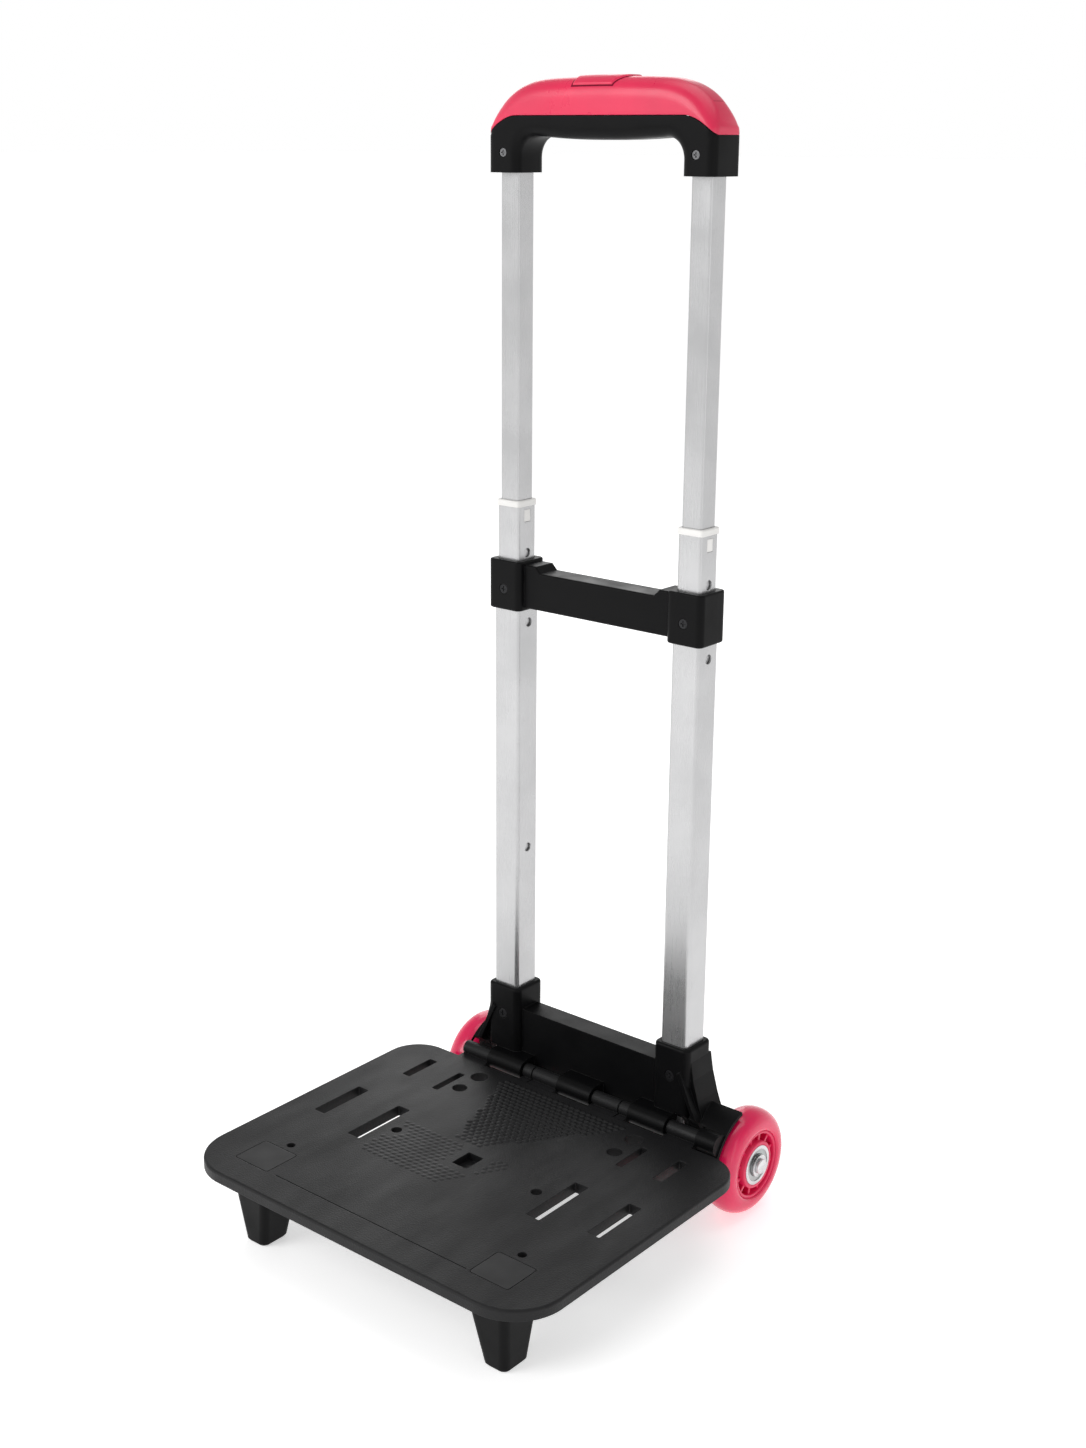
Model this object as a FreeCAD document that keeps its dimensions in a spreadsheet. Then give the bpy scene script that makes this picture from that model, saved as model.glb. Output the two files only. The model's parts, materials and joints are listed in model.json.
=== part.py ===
import FreeCAD, Part
import math
import os
import re

import Sketcher

# Folding luggage cart: a moulded base with two wheels carries a two-stage square
# telescopic handle, and a slotted deck on two front feet hinges up against it.
# Local axes: x to the cart's left-right, y backwards from the tubes' centre plane,
# z up from the floor. Every sub-part is then moved by origin_shift along y, so that
# the finished cart stands with its bounding box centred on the origin.

DIMS = {
    # telescopic tubes
    "tube_half_span": 70, "outer_size": 20.4, "outer_wall": 1.1, "outer_corner": 2.6,
    "middle_size": 17.4, "middle_wall": 1.0, "middle_corner": 2.2,
    "inner_size": 14.6, "inner_wall": 0.9, "inner_corner": 1.8,
    "outer_bottom": 50, "outer_top": 402.5, "middle_bottom": 100, "middle_top": 441,
    "inner_bottom": 310, "inner_top": 662, "lock_hole_radius": 3,
    "outer_lock_high": 366, "outer_lock_low": 212, "middle_lock": 411, "inner_lock": 321,
    # base
    "socket_size": 27, "socket_corner": 4.5, "socket_top": 113, "socket_bottom": 44,
    "wall_front": -8.8, "wall_back": 7, "wall_top": 98, "skin": 3, "rib": 2.5,
    "gusset_top": 104, "gusset_foot": 62, "gusset_reach": 95.5, "gusset_back": 13,
    "channel_half": 94, "channel_front": -8, "channel_back": 24, "channel_low": 27,
    "channel_top": 51, "tunnel_radius": 9.5, "fixing_height": 92.5,
    # hinge
    "hinge_y": -18, "hinge_z": 60, "deck_knuckle": 4.8, "base_knuckle": 7, "pin_radius": 2.5,
    "knuckle_one": 14.5, "knuckle_two": 44.5, "knuckle_three": 75, "knuckle_end": 98,
    "knuckle_gap": 0.6, "swing_radius": 8.9, "boss_end": 113, "running_gap": 0.05,
    # wheels
    "axle_y": 15, "wheel_radius": 35, "wheel_mid": 109, "wheel_half": 12, "core_radius": 22.5,
    "axle_radius": 5, "axle_end": 124.6, "bearing_radius": 13, "bearing_width": 8,
    "race_inner": 7.2, "race_outer": 10.8, "ball_radius": 1.7, "hub_radius": 16.2,
    "guard_inner": 38, "guard_outer": 40.5, "guard_reach": 114, "guard_short": 98.5,
    # deck
    "deck_half": 139, "deck_front": 240, "deck_top": 57.5, "deck_rim": 7, "deck_plate": 3,
    "deck_back": 27, "deck_corner": 34, "deck_back_corner": 24, "foot_x": 97, "foot_y": -207,
    "window_long": 29, "window_deep": 26, "foot_gap": 0.35, "arm_low": 52.5,
    "sole_long": 18, "sole_deep": 22, "foot_long": 30, "foot_deep": 34, "foot_neck": 42,
    # cross bar
    "clamp_size": 26, "clamp_corner": 4, "clamp_bottom": 375, "clamp_top": 407,
    "bar_front": -8, "bar_back": 10, "bar_low": 377, "bar_high": 401, "bar_end_high": 405,
    "clamp_screw_height": 388.5, "slip": 0.1,
    # handle
    "grip_half": 82.5, "grip_leg": 59.5, "grip_depth": 28, "grip_low": 643, "grip_under": 664,
    "grip_split": 675.5, "grip_side_split": 665, "grip_corner": 33, "grip_crown": 697,
    "grip_sink": 7, "grip_edge": 5.5, "handle_screw_height": 654.5, "button_half": 18,
    "button_front": -11.5, "button_back": 9.5, "button_top": 698, "yoke_low": 677,
    "yoke_high": 683, "rod_radius": 1.5, "rod_foot": 328, "travel": 4,
}

doc = FreeCAD.newDocument("FoldingCart")
sheet = doc.addObject("Spreadsheet::Sheet", "Dims")
DIMS["origin_shift"] = (DIMS["deck_front"] - DIMS["axle_y"] - DIMS["wheel_radius"]) / 2
for row, (alias, value) in enumerate(DIMS.items(), start=1):
    sheet.set(f"A{row}", alias)
    sheet.set(f"B{row}", str(value))
    sheet.setAlias(f"B{row}", alias)
doc.recompute()

WORDS = re.compile("|".join(sorted((rf"\b{a}\b" for a in DIMS), key=len, reverse=True)))
TO_X = FreeCAD.Rotation(FreeCAD.Vector(0, 1, 0), 90)
TO_Y = FreeCAD.Rotation(FreeCAD.Vector(1, 0, 0), -90)
PLANES = {
    "XY": FreeCAD.Rotation(),
    "XZ": FreeCAD.Rotation(FreeCAD.Vector(1, 0, 0), 90),
    "YZ": FreeCAD.Rotation(FreeCAD.Vector(1, 1, 1), 120),
}
NORMALS = {"XY": (0, 0, 1), "XZ": (0, -1, 0), "YZ": (1, 0, 0)}
SIDES = {"left": -1, "right": 1}
finished = []


def number(expression):
    """The value of an expression of the sheet's words."""
    return work_out(WORDS.sub(lambda m: repr(float(DIMS[m.group()])), str(expression)))


def work_out(text):
    """Works out plain arithmetic with FreeCAD's own unit parser."""
    return FreeCAD.Units.Quantity(text.replace(" ", "")).Value


def bind(obj, prop, expression):
    """Binds a property to the sheet."""
    obj.setExpression(prop, WORDS.sub(lambda m: f"Dims.{m.group()}", str(expression)))


def place(obj, x="0", y="0", z="0", rotation=FreeCAD.Rotation()):
    obj.Placement = FreeCAD.Placement(FreeCAD.Vector(), rotation)
    for axis, value in zip("xyz", (x, y, z)):
        bind(obj, f"Placement.Base.{axis}", value)
    return obj


def box(name, x0, x1, y0, y1, z0, z1):
    made = doc.addObject("Part::Box", name)
    for prop, low, high in (("Length", x0, x1), ("Width", y0, y1), ("Height", z0, z1)):
        bind(made, prop, f"({high}) - ({low})")
    return place(made, x0, y0, z0)


def rod(name, radius, x0, x1, y, z, axis="x"):
    """A cylinder from x0 to x1 along the axis named; the other two place its centre line."""
    made = doc.addObject("Part::Cylinder", name)
    bind(made, "Radius", radius)
    bind(made, "Height", f"({x1}) - ({x0})")
    where = {"x": (x0, y, z, TO_X), "y": (y, x0, z, TO_Y), "z": (y, z, x0, FreeCAD.Rotation())}
    return place(made, *where[axis])


def fuse(name, shapes):
    made = doc.addObject("Part::MultiFuse", name)
    made.Shapes = shapes
    return made


def cut(name, base, tools):
    made = doc.addObject("Part::Cut", name)
    made.Base = base
    made.Tool = tools[0] if len(tools) == 1 else fuse(name + "_tools", tools)
    return made


def group(name, shapes):
    """Separate solids kept together in one node."""
    made = doc.addObject("Part::Compound", name)
    made.Links = shapes
    return made


def finish(obj, label):
    """Names a sub-part and moves it to the cart's own origin."""
    if obj.isDerivedFrom("Part::Primitive"):
        obj = group(obj.Name + "_held", [obj])
    obj.Label = label
    bind(obj, "Placement.Base.y", "origin_shift")
    finished.append(obj)
    return obj


def pin_point(sketch, geometry, end, x, y):
    """Holds one end of a line or arc at a place given by two expressions."""
    for kind, value in (("DistanceX", x), ("DistanceY", y)):
        index = sketch.addConstraint(
            Sketcher.Constraint(kind, -1, 1, geometry, end, number(value)))
        bind(sketch, f"Constraints[{index}]", value)


def polygon(sketch, points):
    """Closed outline of straight sides through points given as expressions."""
    spots = [FreeCAD.Vector(number(x), number(y), 0) for x, y in points]
    first = sketch.GeometryCount
    count = len(spots)
    for i in range(count):
        sketch.addGeometry(Part.LineSegment(spots[i], spots[(i + 1) % count]))
    for i in range(count):
        sketch.addConstraint(
            Sketcher.Constraint("Coincident", first + i, 2, first + (i + 1) % count, 1))
        pin_point(sketch, first + i, 1, *points[i])


def rounded(sketch, x0, x1, y0, y1, radius):
    """Rectangle with four tangent corner arcs; its sides and radius are bound."""
    left, right, low, high, r = (number(v) for v in (x0, x1, y0, y1, radius))
    turn = math.pi / 2
    corners = [(right - r, low + r, -turn), (right - r, high - r, 0),
               (left + r, high - r, turn), (left + r, low + r, 2 * turn)]
    first = sketch.GeometryCount
    for x, y, start in corners:
        circle = Part.Circle(FreeCAD.Vector(x, y, 0), FreeCAD.Vector(0, 0, 1), r)
        sketch.addGeometry(Part.ArcOfCircle(circle, start, start + turn))
    ends = []
    for i in range(4):
        a, b = sketch.Geometry[first + i], sketch.Geometry[first + (i + 1) % 4]
        ends.append(sketch.addGeometry(Part.LineSegment(a.EndPoint, b.StartPoint)))
    for i, line in enumerate(ends):
        sketch.addConstraint(Sketcher.Constraint("Tangent", first + i, 2, line, 1))
        sketch.addConstraint(Sketcher.Constraint("Tangent", line, 2, first + (i + 1) % 4, 1))
        if i:
            sketch.addConstraint(Sketcher.Constraint("Equal", first, first + i))
    index = sketch.addConstraint(Sketcher.Constraint("Radius", first, r))
    bind(sketch, f"Constraints[{index}]", radius)
    sides = (("X", x1), ("Y", y1), ("X", x0), ("Y", y0))
    for line, (kind, side) in zip(ends, sides):
        sketch.addConstraint(Sketcher.Constraint("Vertical" if kind == "X" else "Horizontal", line))
        index = sketch.addConstraint(
            Sketcher.Constraint("Distance" + kind, -1, 1, line, 1, number(side)))
        bind(sketch, f"Constraints[{index}]", side)


def circle(sketch, x, y, radius):
    index = sketch.addGeometry(
        Part.Circle(FreeCAD.Vector(number(x), number(y), 0), FreeCAD.Vector(0, 0, 1), number(radius)))
    pin_point(sketch, index, 3, x, y)
    held = sketch.addConstraint(Sketcher.Constraint("Radius", index, number(radius)))
    bind(sketch, f"Constraints[{held}]", radius)


def prism(name, plane, draw, start, depth):
    """Extrudes a drawn profile: start is its plane's height along the plane's normal."""
    sketch = doc.addObject("Sketcher::SketchObject", name + "_profile")
    sketch.Placement = FreeCAD.Placement(FreeCAD.Vector(), PLANES[plane])
    offset = {"XY": ("z", "{}"), "XZ": ("y", "-({})"), "YZ": ("x", "{}")}[plane]
    bind(sketch, f"Placement.Base.{offset[0]}", offset[1].format(start))
    draw(sketch)
    made = doc.addObject("Part::Extrusion", name)
    made.Base = sketch
    made.DirMode = "Normal"
    made.Solid = True
    bind(made, "LengthFwd", depth)
    return made


def body_sketch(body, name, plane, draw, offset="0"):
    """A sketch on one of the body's own origin planes."""
    sketch = body.newObject("Sketcher::SketchObject", name)
    origin = [f for f in body.Origin.OriginFeatures if f.Role == plane + "_Plane"][0]
    sketch.AttachmentSupport = (origin, "")
    sketch.MapMode = "FlatFace"
    bind(sketch, "AttachmentOffset.Base.z", offset)
    draw(sketch)
    return sketch


def feature(body, kind, name, sketch, length, flip=False, through=False):
    made = body.newObject("PartDesign::" + kind, name)
    made.Profile = sketch
    made.Reversed = flip
    if through:
        made.Type = "ThroughAll"
        made.Midplane = True
    else:
        bind(made, "Length", length)
    before = body.Tip.Shape.Volume if body.Tip and body.Tip is not made else 0.0
    doc.recompute()
    change = made.Shape.Volume - before
    assert abs(change) > 1e-3, f"{name} changed nothing"
    return made


def round_edges(body, name, base, radius, wanted):
    """Fillets the edges of a body's last feature that a test picks."""
    doc.recompute()
    names = [f"Edge{i}" for i, e in enumerate(base.Shape.Edges, 1) if wanted(e)]
    made = body.newObject("PartDesign::Fillet", name)
    made.Base = (base, names)
    bind(made, "Radius", radius)
    doc.recompute()
    assert made.isValid() and not made.Shape.isNull(), f"{name} failed on {len(names)} edges"
    return made


def part_fillet(name, base, radius, wanted):
    """Fillets picked edges of any solid."""
    doc.recompute()
    made = doc.addObject("Part::Fillet", name)
    made.Base = base
    size = number(radius)
    made.Edges = [(i, size, size) for i, e in enumerate(base.Shape.Edges, 1) if wanted(e)]
    return made


def middle_of(edge):
    return edge.valueAt((edge.FirstParameter + edge.LastParameter) / 2)


def is_along(edge, axis):
    if not isinstance(edge.Curve, Part.Line):
        return False
    return abs(abs(getattr(edge.Curve.Direction, axis)) - 1) < 1e-6


# ---------------------------------------------------------------- telescopic tubes
def tube(label, side, size, wall, corner, low, high, holes, fixings=()):
    """Square aluminium tube: lock holes through both x faces, screw holes in the front."""
    body = doc.addObject("PartDesign::Body", label)
    centre = f"{side} * tube_half_span"

    def section(sketch):
        for inset, radius in (("0", corner), (wall, f"{corner} - {wall}")):
            half = f"({size} / 2 - {inset})"
            rounded(sketch, f"{centre} - {half}", f"{centre} + {half}", f"0 - {half}", half, radius)

    base = body_sketch(body, label + "_section", "XY", section, low)
    feature(body, "Pad", label + "_length", base, f"{high} - {low}")
    if holes:
        def drill(sketch):
            for height in holes:
                circle(sketch, "0", height, "lock_hole_radius")
        drilled = body_sketch(body, label + "_holes", "YZ", drill, centre)
        feature(body, "Pocket", label + "_drilled", drilled, f"2 * {size}", through=True)
    if label.startswith("middle"):
        def window(sketch):
            rounded(sketch, "0 - 3", "3", "middle_top - 10", "middle_top - 2", "0.5")
        opened = body_sketch(body, label + "_windows", "YZ", window, centre)
        feature(body, "Pocket", label + "_opened", opened, f"2 * {size}", through=True)
    if fixings:
        def tap(sketch):
            for height in fixings:
                circle(sketch, centre, height, "1.8")
        tapped = body_sketch(body, label + "_fixings", "XZ", tap)
        feature(body, "Pocket", label + "_tapped", tapped, size, flip=True)
    return finish(body, label)


OUTER_HOLES = {"left": ["outer_lock_high", "outer_lock_low"], "right": ["outer_lock_high"]}
for word, side in SIDES.items():
    tube(f"outer_tube_{word}", side, "outer_size", "outer_wall", "outer_corner",
         "outer_bottom", "outer_top", OUTER_HOLES[word],
         ["fixing_height", "clamp_screw_height"])
    tube(f"middle_tube_{word}", side, "middle_size", "middle_wall", "middle_corner",
         "middle_bottom", "middle_top", ["middle_lock", "inner_lock"])
    tube(f"inner_tube_{word}", side, "inner_size", "inner_wall", "inner_corner",
         "inner_bottom", "inner_top", ["inner_lock"], ["handle_screw_height"])


def square_ring(name, side, outer, corner, bore, low, high):
    """A square ring or plug around a tube's centre line; bore 0 leaves it solid."""
    centre = f"{side} * tube_half_span"

    def draw(sketch):
        rounded(sketch, f"{centre} - {outer} / 2", f"{centre} + {outer} / 2",
                f"0 - {outer} / 2", f"{outer} / 2", corner)
        if bore:
            rounded(sketch, f"{centre} - {bore} / 2", f"{centre} + {bore} / 2",
                    f"0 - {bore} / 2", f"{bore} / 2", f"{corner} / 2")

    return prism(name, "XY", draw, low, f"{high} - ({low})")


for word, side in SIDES.items():
    centre = f"{side} * tube_half_span"
    # Guide collar: a cap on the middle tube's end and a sleeve that steadies the inner tube.
    cap = square_ring(f"collar_cap_{word}", side, "(middle_size + 1.2)", "middle_corner",
                      "(inner_size + 0.3)", "middle_top", "(middle_top + 4)")
    collar = part_fillet(f"collar_round_{word}", cap, "0.9",
                         lambda e: abs(middle_of(e).z - DIMS["middle_top"] - 4) < 0.01
                         and abs(middle_of(e).y) > DIMS["inner_size"] / 2 + 0.6
                         or abs(middle_of(e).z - DIMS["middle_top"] - 4) < 0.01
                         and abs(abs(middle_of(e).x) - DIMS["tube_half_span"])
                         > DIMS["inner_size"] / 2 + 0.6)
    tabs = []
    for i, way in enumerate((-1, 1)):
        leg = (f"{way} * (inner_size / 2 + 0.15)", f"{way} * (middle_size / 2 - middle_wall - 0.01)")
        latch = (f"{way} * (middle_size / 2 - middle_wall - 0.01)", f"{way} * (middle_size / 2 - 0.1)")
        for j, (pair, low, high, half) in enumerate((
                (leg, "(middle_top - 10)", "(middle_top + 1)", "3"),
                (latch, "(middle_top - 9.8)", "(middle_top - 2.2)", "2.9"))):
            x0, x1 = pair if way > 0 else pair[::-1]
            tabs.append(box(f"collar_tab_{word}_{i}{j}", f"{centre} + {x0}", f"{centre} + {x1}",
                            f"0 - {half}", half, low, high))
    finish(fuse(f"collar_body_{word}", [collar] + tabs), f"middle_tube_collar_{word}")
    # Foot guide: a ring under the middle tube that slides in the outer tube.
    guide = square_ring(f"guide_ring_{word}", side, "(outer_size - 2 * outer_wall - 0.3)",
                        "1.5", "13", "(middle_bottom - 8)", "middle_bottom")
    finish(guide, f"middle_tube_guide_{word}")

    # Lock housing: a plug in the inner tube's foot with a cross bore for the lock pin.
    flange = square_ring(f"lock_flange_{word}", side, "(middle_size - 2 * middle_wall - 0.3)",
                         "1.1", None, "(inner_bottom - 8)", "inner_bottom")
    plug = square_ring(f"lock_plug_{word}", side, "(inner_size - 2 * inner_wall - 0.2)",
                       "0.8", None, "inner_bottom", "(inner_bottom + 24)")
    cross = rod(f"lock_bore_{word}", "2.55", f"{centre} - 8", f"{centre} + 8", "0", "inner_lock")
    shaft = rod(f"lock_well_{word}", "2", "(inner_lock + 1)", "(inner_bottom + 25)",
                centre, "0", "z")
    housing = cut(f"lock_housing_{word}_body", fuse(f"lock_solid_{word}", [flange, plug]),
                  [cross, shaft])
    finish(housing, f"lock_housing_{word}")
    # Lock pin: its rounded tip ends flush with the inner tube's outer face.
    tip = f"{centre} + {side} * (inner_size / 2 - 0.05)"
    back = f"{centre} + {side} * 1.6"
    low, high = (tip, back) if side < 0 else (back, tip)
    pin = rod(f"lock_pin_body_{word}", "2.5", low, high, "0", "inner_lock")
    finish(part_fillet(f"lock_pin_round_{word}", pin, "0.8",
                       lambda e, s=side: isinstance(e.Curve, Part.Circle)
                       and s * middle_of(e).x > DIMS["tube_half_span"] + 4), f"lock_pin_{word}")


# ---------------------------------------------------------------- base bracket
def tube_socket(word, side):
    """Square socket that the outer tube stands in, rounded at its rim."""
    body = doc.addObject("PartDesign::Body", f"socket_{word}")
    centre = f"{side} * tube_half_span"
    half = "socket_size / 2"
    outline = body_sketch(body, f"socket_outline_{word}", "XY", lambda s: rounded(
        s, f"{centre} - {half}", f"{centre} + {half}", f"0 - {half}", half, "socket_corner"),
        "socket_bottom")
    pad = feature(body, "Pad", f"socket_block_{word}", outline, "socket_top - socket_bottom")
    round_edges(body, f"socket_rim_{word}", pad, "1.8",
                lambda e: min(v.Z for v in e.Vertexes) > DIMS["socket_top"] - 0.01)
    return body


def gusset(word, side):
    """Hollow wing beside a socket, with a thin fin along its front edge."""
    root = f"{side} * (tube_half_span + 9)"
    tip = f"{side} * gusset_reach"
    shoulder = f"{side} * (tube_half_span + socket_size / 2)"
    outer = prism(f"gusset_{word}", "XZ", lambda s: polygon(s, [
        (root, "gusset_top"), (shoulder, "gusset_top"), (f"{side} * 85.5", "gusset_top - 12"),
        (f"{side} * 89.5", "gusset_top - 26"), (tip, "gusset_foot"),
        (tip, "socket_bottom"), (root, "socket_bottom")]), "0 - gusset_back", "gusset_back + 9")
    hollow = prism(f"gusset_hollow_{word}", "XZ", lambda s: polygon(s, [
        (shoulder, "gusset_top - 20"), (f"{side} * 86.5", "gusset_top - 27"),
        (f"{tip} - {side} * 3", "gusset_foot - 2"), (f"{tip} - {side} * 3", "channel_top"),
        (shoulder, "channel_top")]), "0 - gusset_back - 1", "gusset_back + 7")
    fin = prism(f"gusset_fin_{word}", "XZ", lambda s: polygon(s, [
        (f"{side} * (tube_half_span + 6)", "gusset_top - 8"), (f"{side} * (tube_half_span + 8.5)",
         "gusset_top - 6"), (f"{side} * (tube_half_span + 17)", "gusset_top - 26"),
        (f"{side} * (gusset_reach + 0.5)", "gusset_foot - 1"),
        (f"{side} * (gusset_reach - 2.5)", "gusset_foot - 3")]), "7.5", "7")
    return fuse(f"gusset_whole_{word}", [cut(f"gusset_shell_{word}", outer, [hollow]), fin])


def channel():
    """Open-bottomed box beam that ties the sockets together and holds the axle tunnel."""
    ends = "channel_half"
    parts = [
        box("channel_front_plate", f"0 - {ends}", ends, "channel_front", "channel_front + skin",
            "channel_low", "channel_top"),
        box("channel_back_plate", f"0 - {ends}", ends, "channel_back - skin", "channel_back",
            "channel_low", "channel_top"),
        box("channel_roof", f"0 - {ends}", ends, "channel_front", "channel_back",
            "channel_top - skin", "channel_top"),
        rod("axle_tunnel", "tunnel_radius", f"0 - {ends}", ends, "axle_y", "wheel_radius"),
    ]
    for i, spot in enumerate(["channel_half - rib", "60", "32", "0 - rib / 2", "0 - 34.5", "0 - 62.5",
                              "0 - channel_half"]):
        parts.append(box(f"channel_rib_{i}", spot, f"({spot}) + rib", "channel_front",
                         "channel_back", "channel_low", "channel_top"))
    return parts


def wall():
    """Front wall between the sockets, with a top flange and stiffening ribs behind."""
    span = "tube_half_span"
    parts = [
        box("wall_plate", f"0 - {span}", span, "wall_front", "wall_front + skin",
            "channel_top - 4", "wall_top"),
        box("wall_flange", f"0 - {span}", span, "wall_front", "wall_back",
            "wall_top - skin", "wall_top"),
    ]
    for i, spot in enumerate(["0 - 42", "0 - 21", "0", "21", "42"]):
        parts.append(box(f"wall_rib_{i}", f"{spot} - rib / 2", f"{spot} + rib / 2", "wall_front",
                         "wall_back - 1", "channel_top - 1", "wall_top"))
    return parts


def base_knuckle(name, low, high):
    """Knuckle of the base: a barrel and the hood that joins it to the front wall."""
    barrel = rod(name + "_barrel", "base_knuckle", low, high, "hinge_y", "hinge_z")
    hood = box(name + "_hood", low, high, "hinge_y", "wall_front + 1",
               "hinge_z - base_knuckle", "hinge_z + base_knuckle")
    return [barrel, hood]


def guard_band(name, low, high, start, stop):
    """Curved plate over a wheel's front between two angles about the axle."""
    def band(sketch):
        angles = [math.radians(a) for a in (start, stop)]
        centre = FreeCAD.Vector(DIMS["axle_y"], DIMS["wheel_radius"], 0)
        arcs = []
        for word in ("guard_inner", "guard_outer"):
            whole = Part.Circle(centre, FreeCAD.Vector(0, 0, 1), DIMS[word])
            arcs.append(sketch.addGeometry(Part.ArcOfCircle(whole, *angles)))
            pin_point(sketch, arcs[-1], 3, "axle_y", "wheel_radius")
            held = sketch.addConstraint(Sketcher.Constraint("Radius", arcs[-1], DIMS[word]))
            bind(sketch, f"Constraints[{held}]", word)
        inner, outer = (sketch.Geometry[i] for i in arcs)
        for end, a, b in ((1, inner.StartPoint, outer.StartPoint), (2, inner.EndPoint, outer.EndPoint)):
            line = sketch.addGeometry(Part.LineSegment(a, b))
            sketch.addConstraint(Sketcher.Constraint("Coincident", line, 1, arcs[0], end))
            sketch.addConstraint(Sketcher.Constraint("Coincident", line, 2, arcs[1], end))

    return prism(name, "YZ", band, low, f"{high} - ({low})")


def wheel_guards():
    """A wide guard over the right wheel, a short one on the left, and the hinge's end boss."""
    root = "tube_half_span + 14"
    return [
        guard_band("guard_right", root, "guard_reach", 104, 172),
        guard_band("guard_left", "0 - guard_short", f"0 - ({root})", 104, 172),
        rod("boss_right", "base_knuckle", "knuckle_end + knuckle_gap", "boss_end", "hinge_y", "hinge_z"),
    ]


def base_bracket():
    solids = []
    for word, side in SIDES.items():
        solids += [tube_socket(word, side), gusset(word, side)]
    solids += channel() + wall() + wheel_guards()
    gap = "knuckle_gap"
    for name, low, high in (
            ("knuckle_left", "0 - knuckle_three", "0 - knuckle_two"),
            ("knuckle_centre", "0 - knuckle_one", "knuckle_one"),
            ("knuckle_right", "knuckle_two", "knuckle_three")):
        solids += base_knuckle(name, f"({low}) + {gap}", f"({high}) - {gap}")
    tools = [
        rod("pin_bore", "pin_radius", "0 - knuckle_end - 1", "boss_end - 2", "hinge_y", "hinge_z"),
        rod("axle_bore", "axle_radius", "0 - channel_half - 2", "channel_half + 2",
            "axle_y", "wheel_radius"),
    ]
    for word, side in SIDES.items():
        tools.append(rod(f"tyre_room_{word}", "guard_inner - 0.4",
                         f"{side} * wheel_mid - wheel_half - 0.6", f"{side} * wheel_mid + wheel_half + 2",
                         "axle_y", "wheel_radius"))
    for word, side in SIDES.items():
        centre = f"{side} * tube_half_span"
        half = "(outer_size / 2 + slip)"
        tools.append(prism(f"socket_bore_{word}", "XY", lambda s, c=centre, h=half: rounded(
            s, f"{c} - {h}", f"{c} + {h}", f"0 - {h}", h, "outer_corner"), "outer_bottom", "80"))
        tools.append(rod(f"fixing_recess_{word}", "3.6", "0 - socket_size / 2 - 1",
                         "0 - socket_size / 2 + 1.6", centre, "fixing_height", "y"))
        tools.append(rod(f"fixing_hole_{word}", "1.8", "0 - socket_size / 2 - 1",
                         "0 - outer_size / 2", centre, "fixing_height", "y"))
    # Room for the deck's knuckles and for its swing, between the base's own knuckles.
    for i, (low, high) in enumerate((("0 - knuckle_two", "0 - knuckle_one"),
                                     ("knuckle_one", "knuckle_two"),
                                     ("knuckle_three", "knuckle_end"),
                                     ("0 - knuckle_end", "0 - knuckle_three"))):
        tools.append(rod(f"swing_room_{i}", "swing_radius", f"({low}) - knuckle_gap / 2",
                         f"({high}) + knuckle_gap / 2", "hinge_y", "hinge_z"))
    return cut("base_bracket_body", fuse("base_bracket_solid", solids), tools)


base = base_bracket()
finish(base, "base_bracket")


def screw(name, x, y_head, z, head, shank, depth):
    """Pan-head screw that points backwards, with a cross recess in its head."""
    body = rod(name + "_head", head, y_head, f"({y_head}) + 1.5", x, z, "y")
    stem = rod(name + "_stem", shank, f"({y_head}) + 1.5", depth, x, z, "y")
    slots = [box(name + "_slot_a", f"{x} - {head} * 0.6", f"{x} + {head} * 0.6", f"({y_head}) - 0.1",
                 f"({y_head}) + 0.8", f"{z} - 0.4", f"{z} + 0.4"),
             box(name + "_slot_b", f"{x} - 0.4", f"{x} + 0.4", f"({y_head}) - 0.1",
                 f"({y_head}) + 0.8", f"{z} - {head} * 0.6", f"{z} + {head} * 0.6")]
    return cut(name, fuse(name + "_solid", [body, stem]), slots)


def screw_pair(label, y_head, z, head, shank, depth):
    pair = [screw(f"{label}_{word}", f"{side} * tube_half_span", y_head, z, head, shank, depth)
            for word, side in SIDES.items()]
    return finish(group(label + "_pair", pair), label)


screw_pair("socket_screws", "0 - socket_size / 2 + 0.1", "fixing_height", "3.3", "1.75",
           "0 - outer_size / 2 + outer_wall")

# ---------------------------------------------------------------- hinge pin, axle
finish(rod("hinge_pin_rod", "pin_radius - running_gap / 2", "0 - knuckle_end",
           "boss_end - 2.2", "hinge_y", "hinge_z"), "hinge_pin")


def axle():
    shaft = rod("axle_shaft", "axle_radius - 0.02", "0 - axle_end", "axle_end", "axle_y", "wheel_radius")
    rounded_ends = part_fillet("axle_rounded", shaft, "0.8", lambda e: isinstance(e.Curve, Part.Circle))
    grooves = []
    for word, side in SIDES.items():
        low = f"{side} * (wheel_mid + wheel_half + 1.1) - 0.6"
        ring = rod(f"groove_blank_{word}", "axle_radius + 1", low, f"({low}) + 1.2",
                   "axle_y", "wheel_radius")
        core = rod(f"groove_core_{word}", "axle_radius - 0.5", f"({low}) - 1", f"({low}) + 3",
                   "axle_y", "wheel_radius")
        grooves.append(cut(f"groove_{word}", ring, [core]))
    return cut("axle_body", rounded_ends, grooves)


finish(axle(), "axle")


def ring(name, outer, inner, low, high):
    """A plain ring around the axle line."""
    body = rod(name + "_disc", outer, low, high, "axle_y", "wheel_radius")
    return cut(name, body, [rod(name + "_bore", inner, f"({low}) - 1", f"({high}) + 1",
                                "axle_y", "wheel_radius")])


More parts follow.
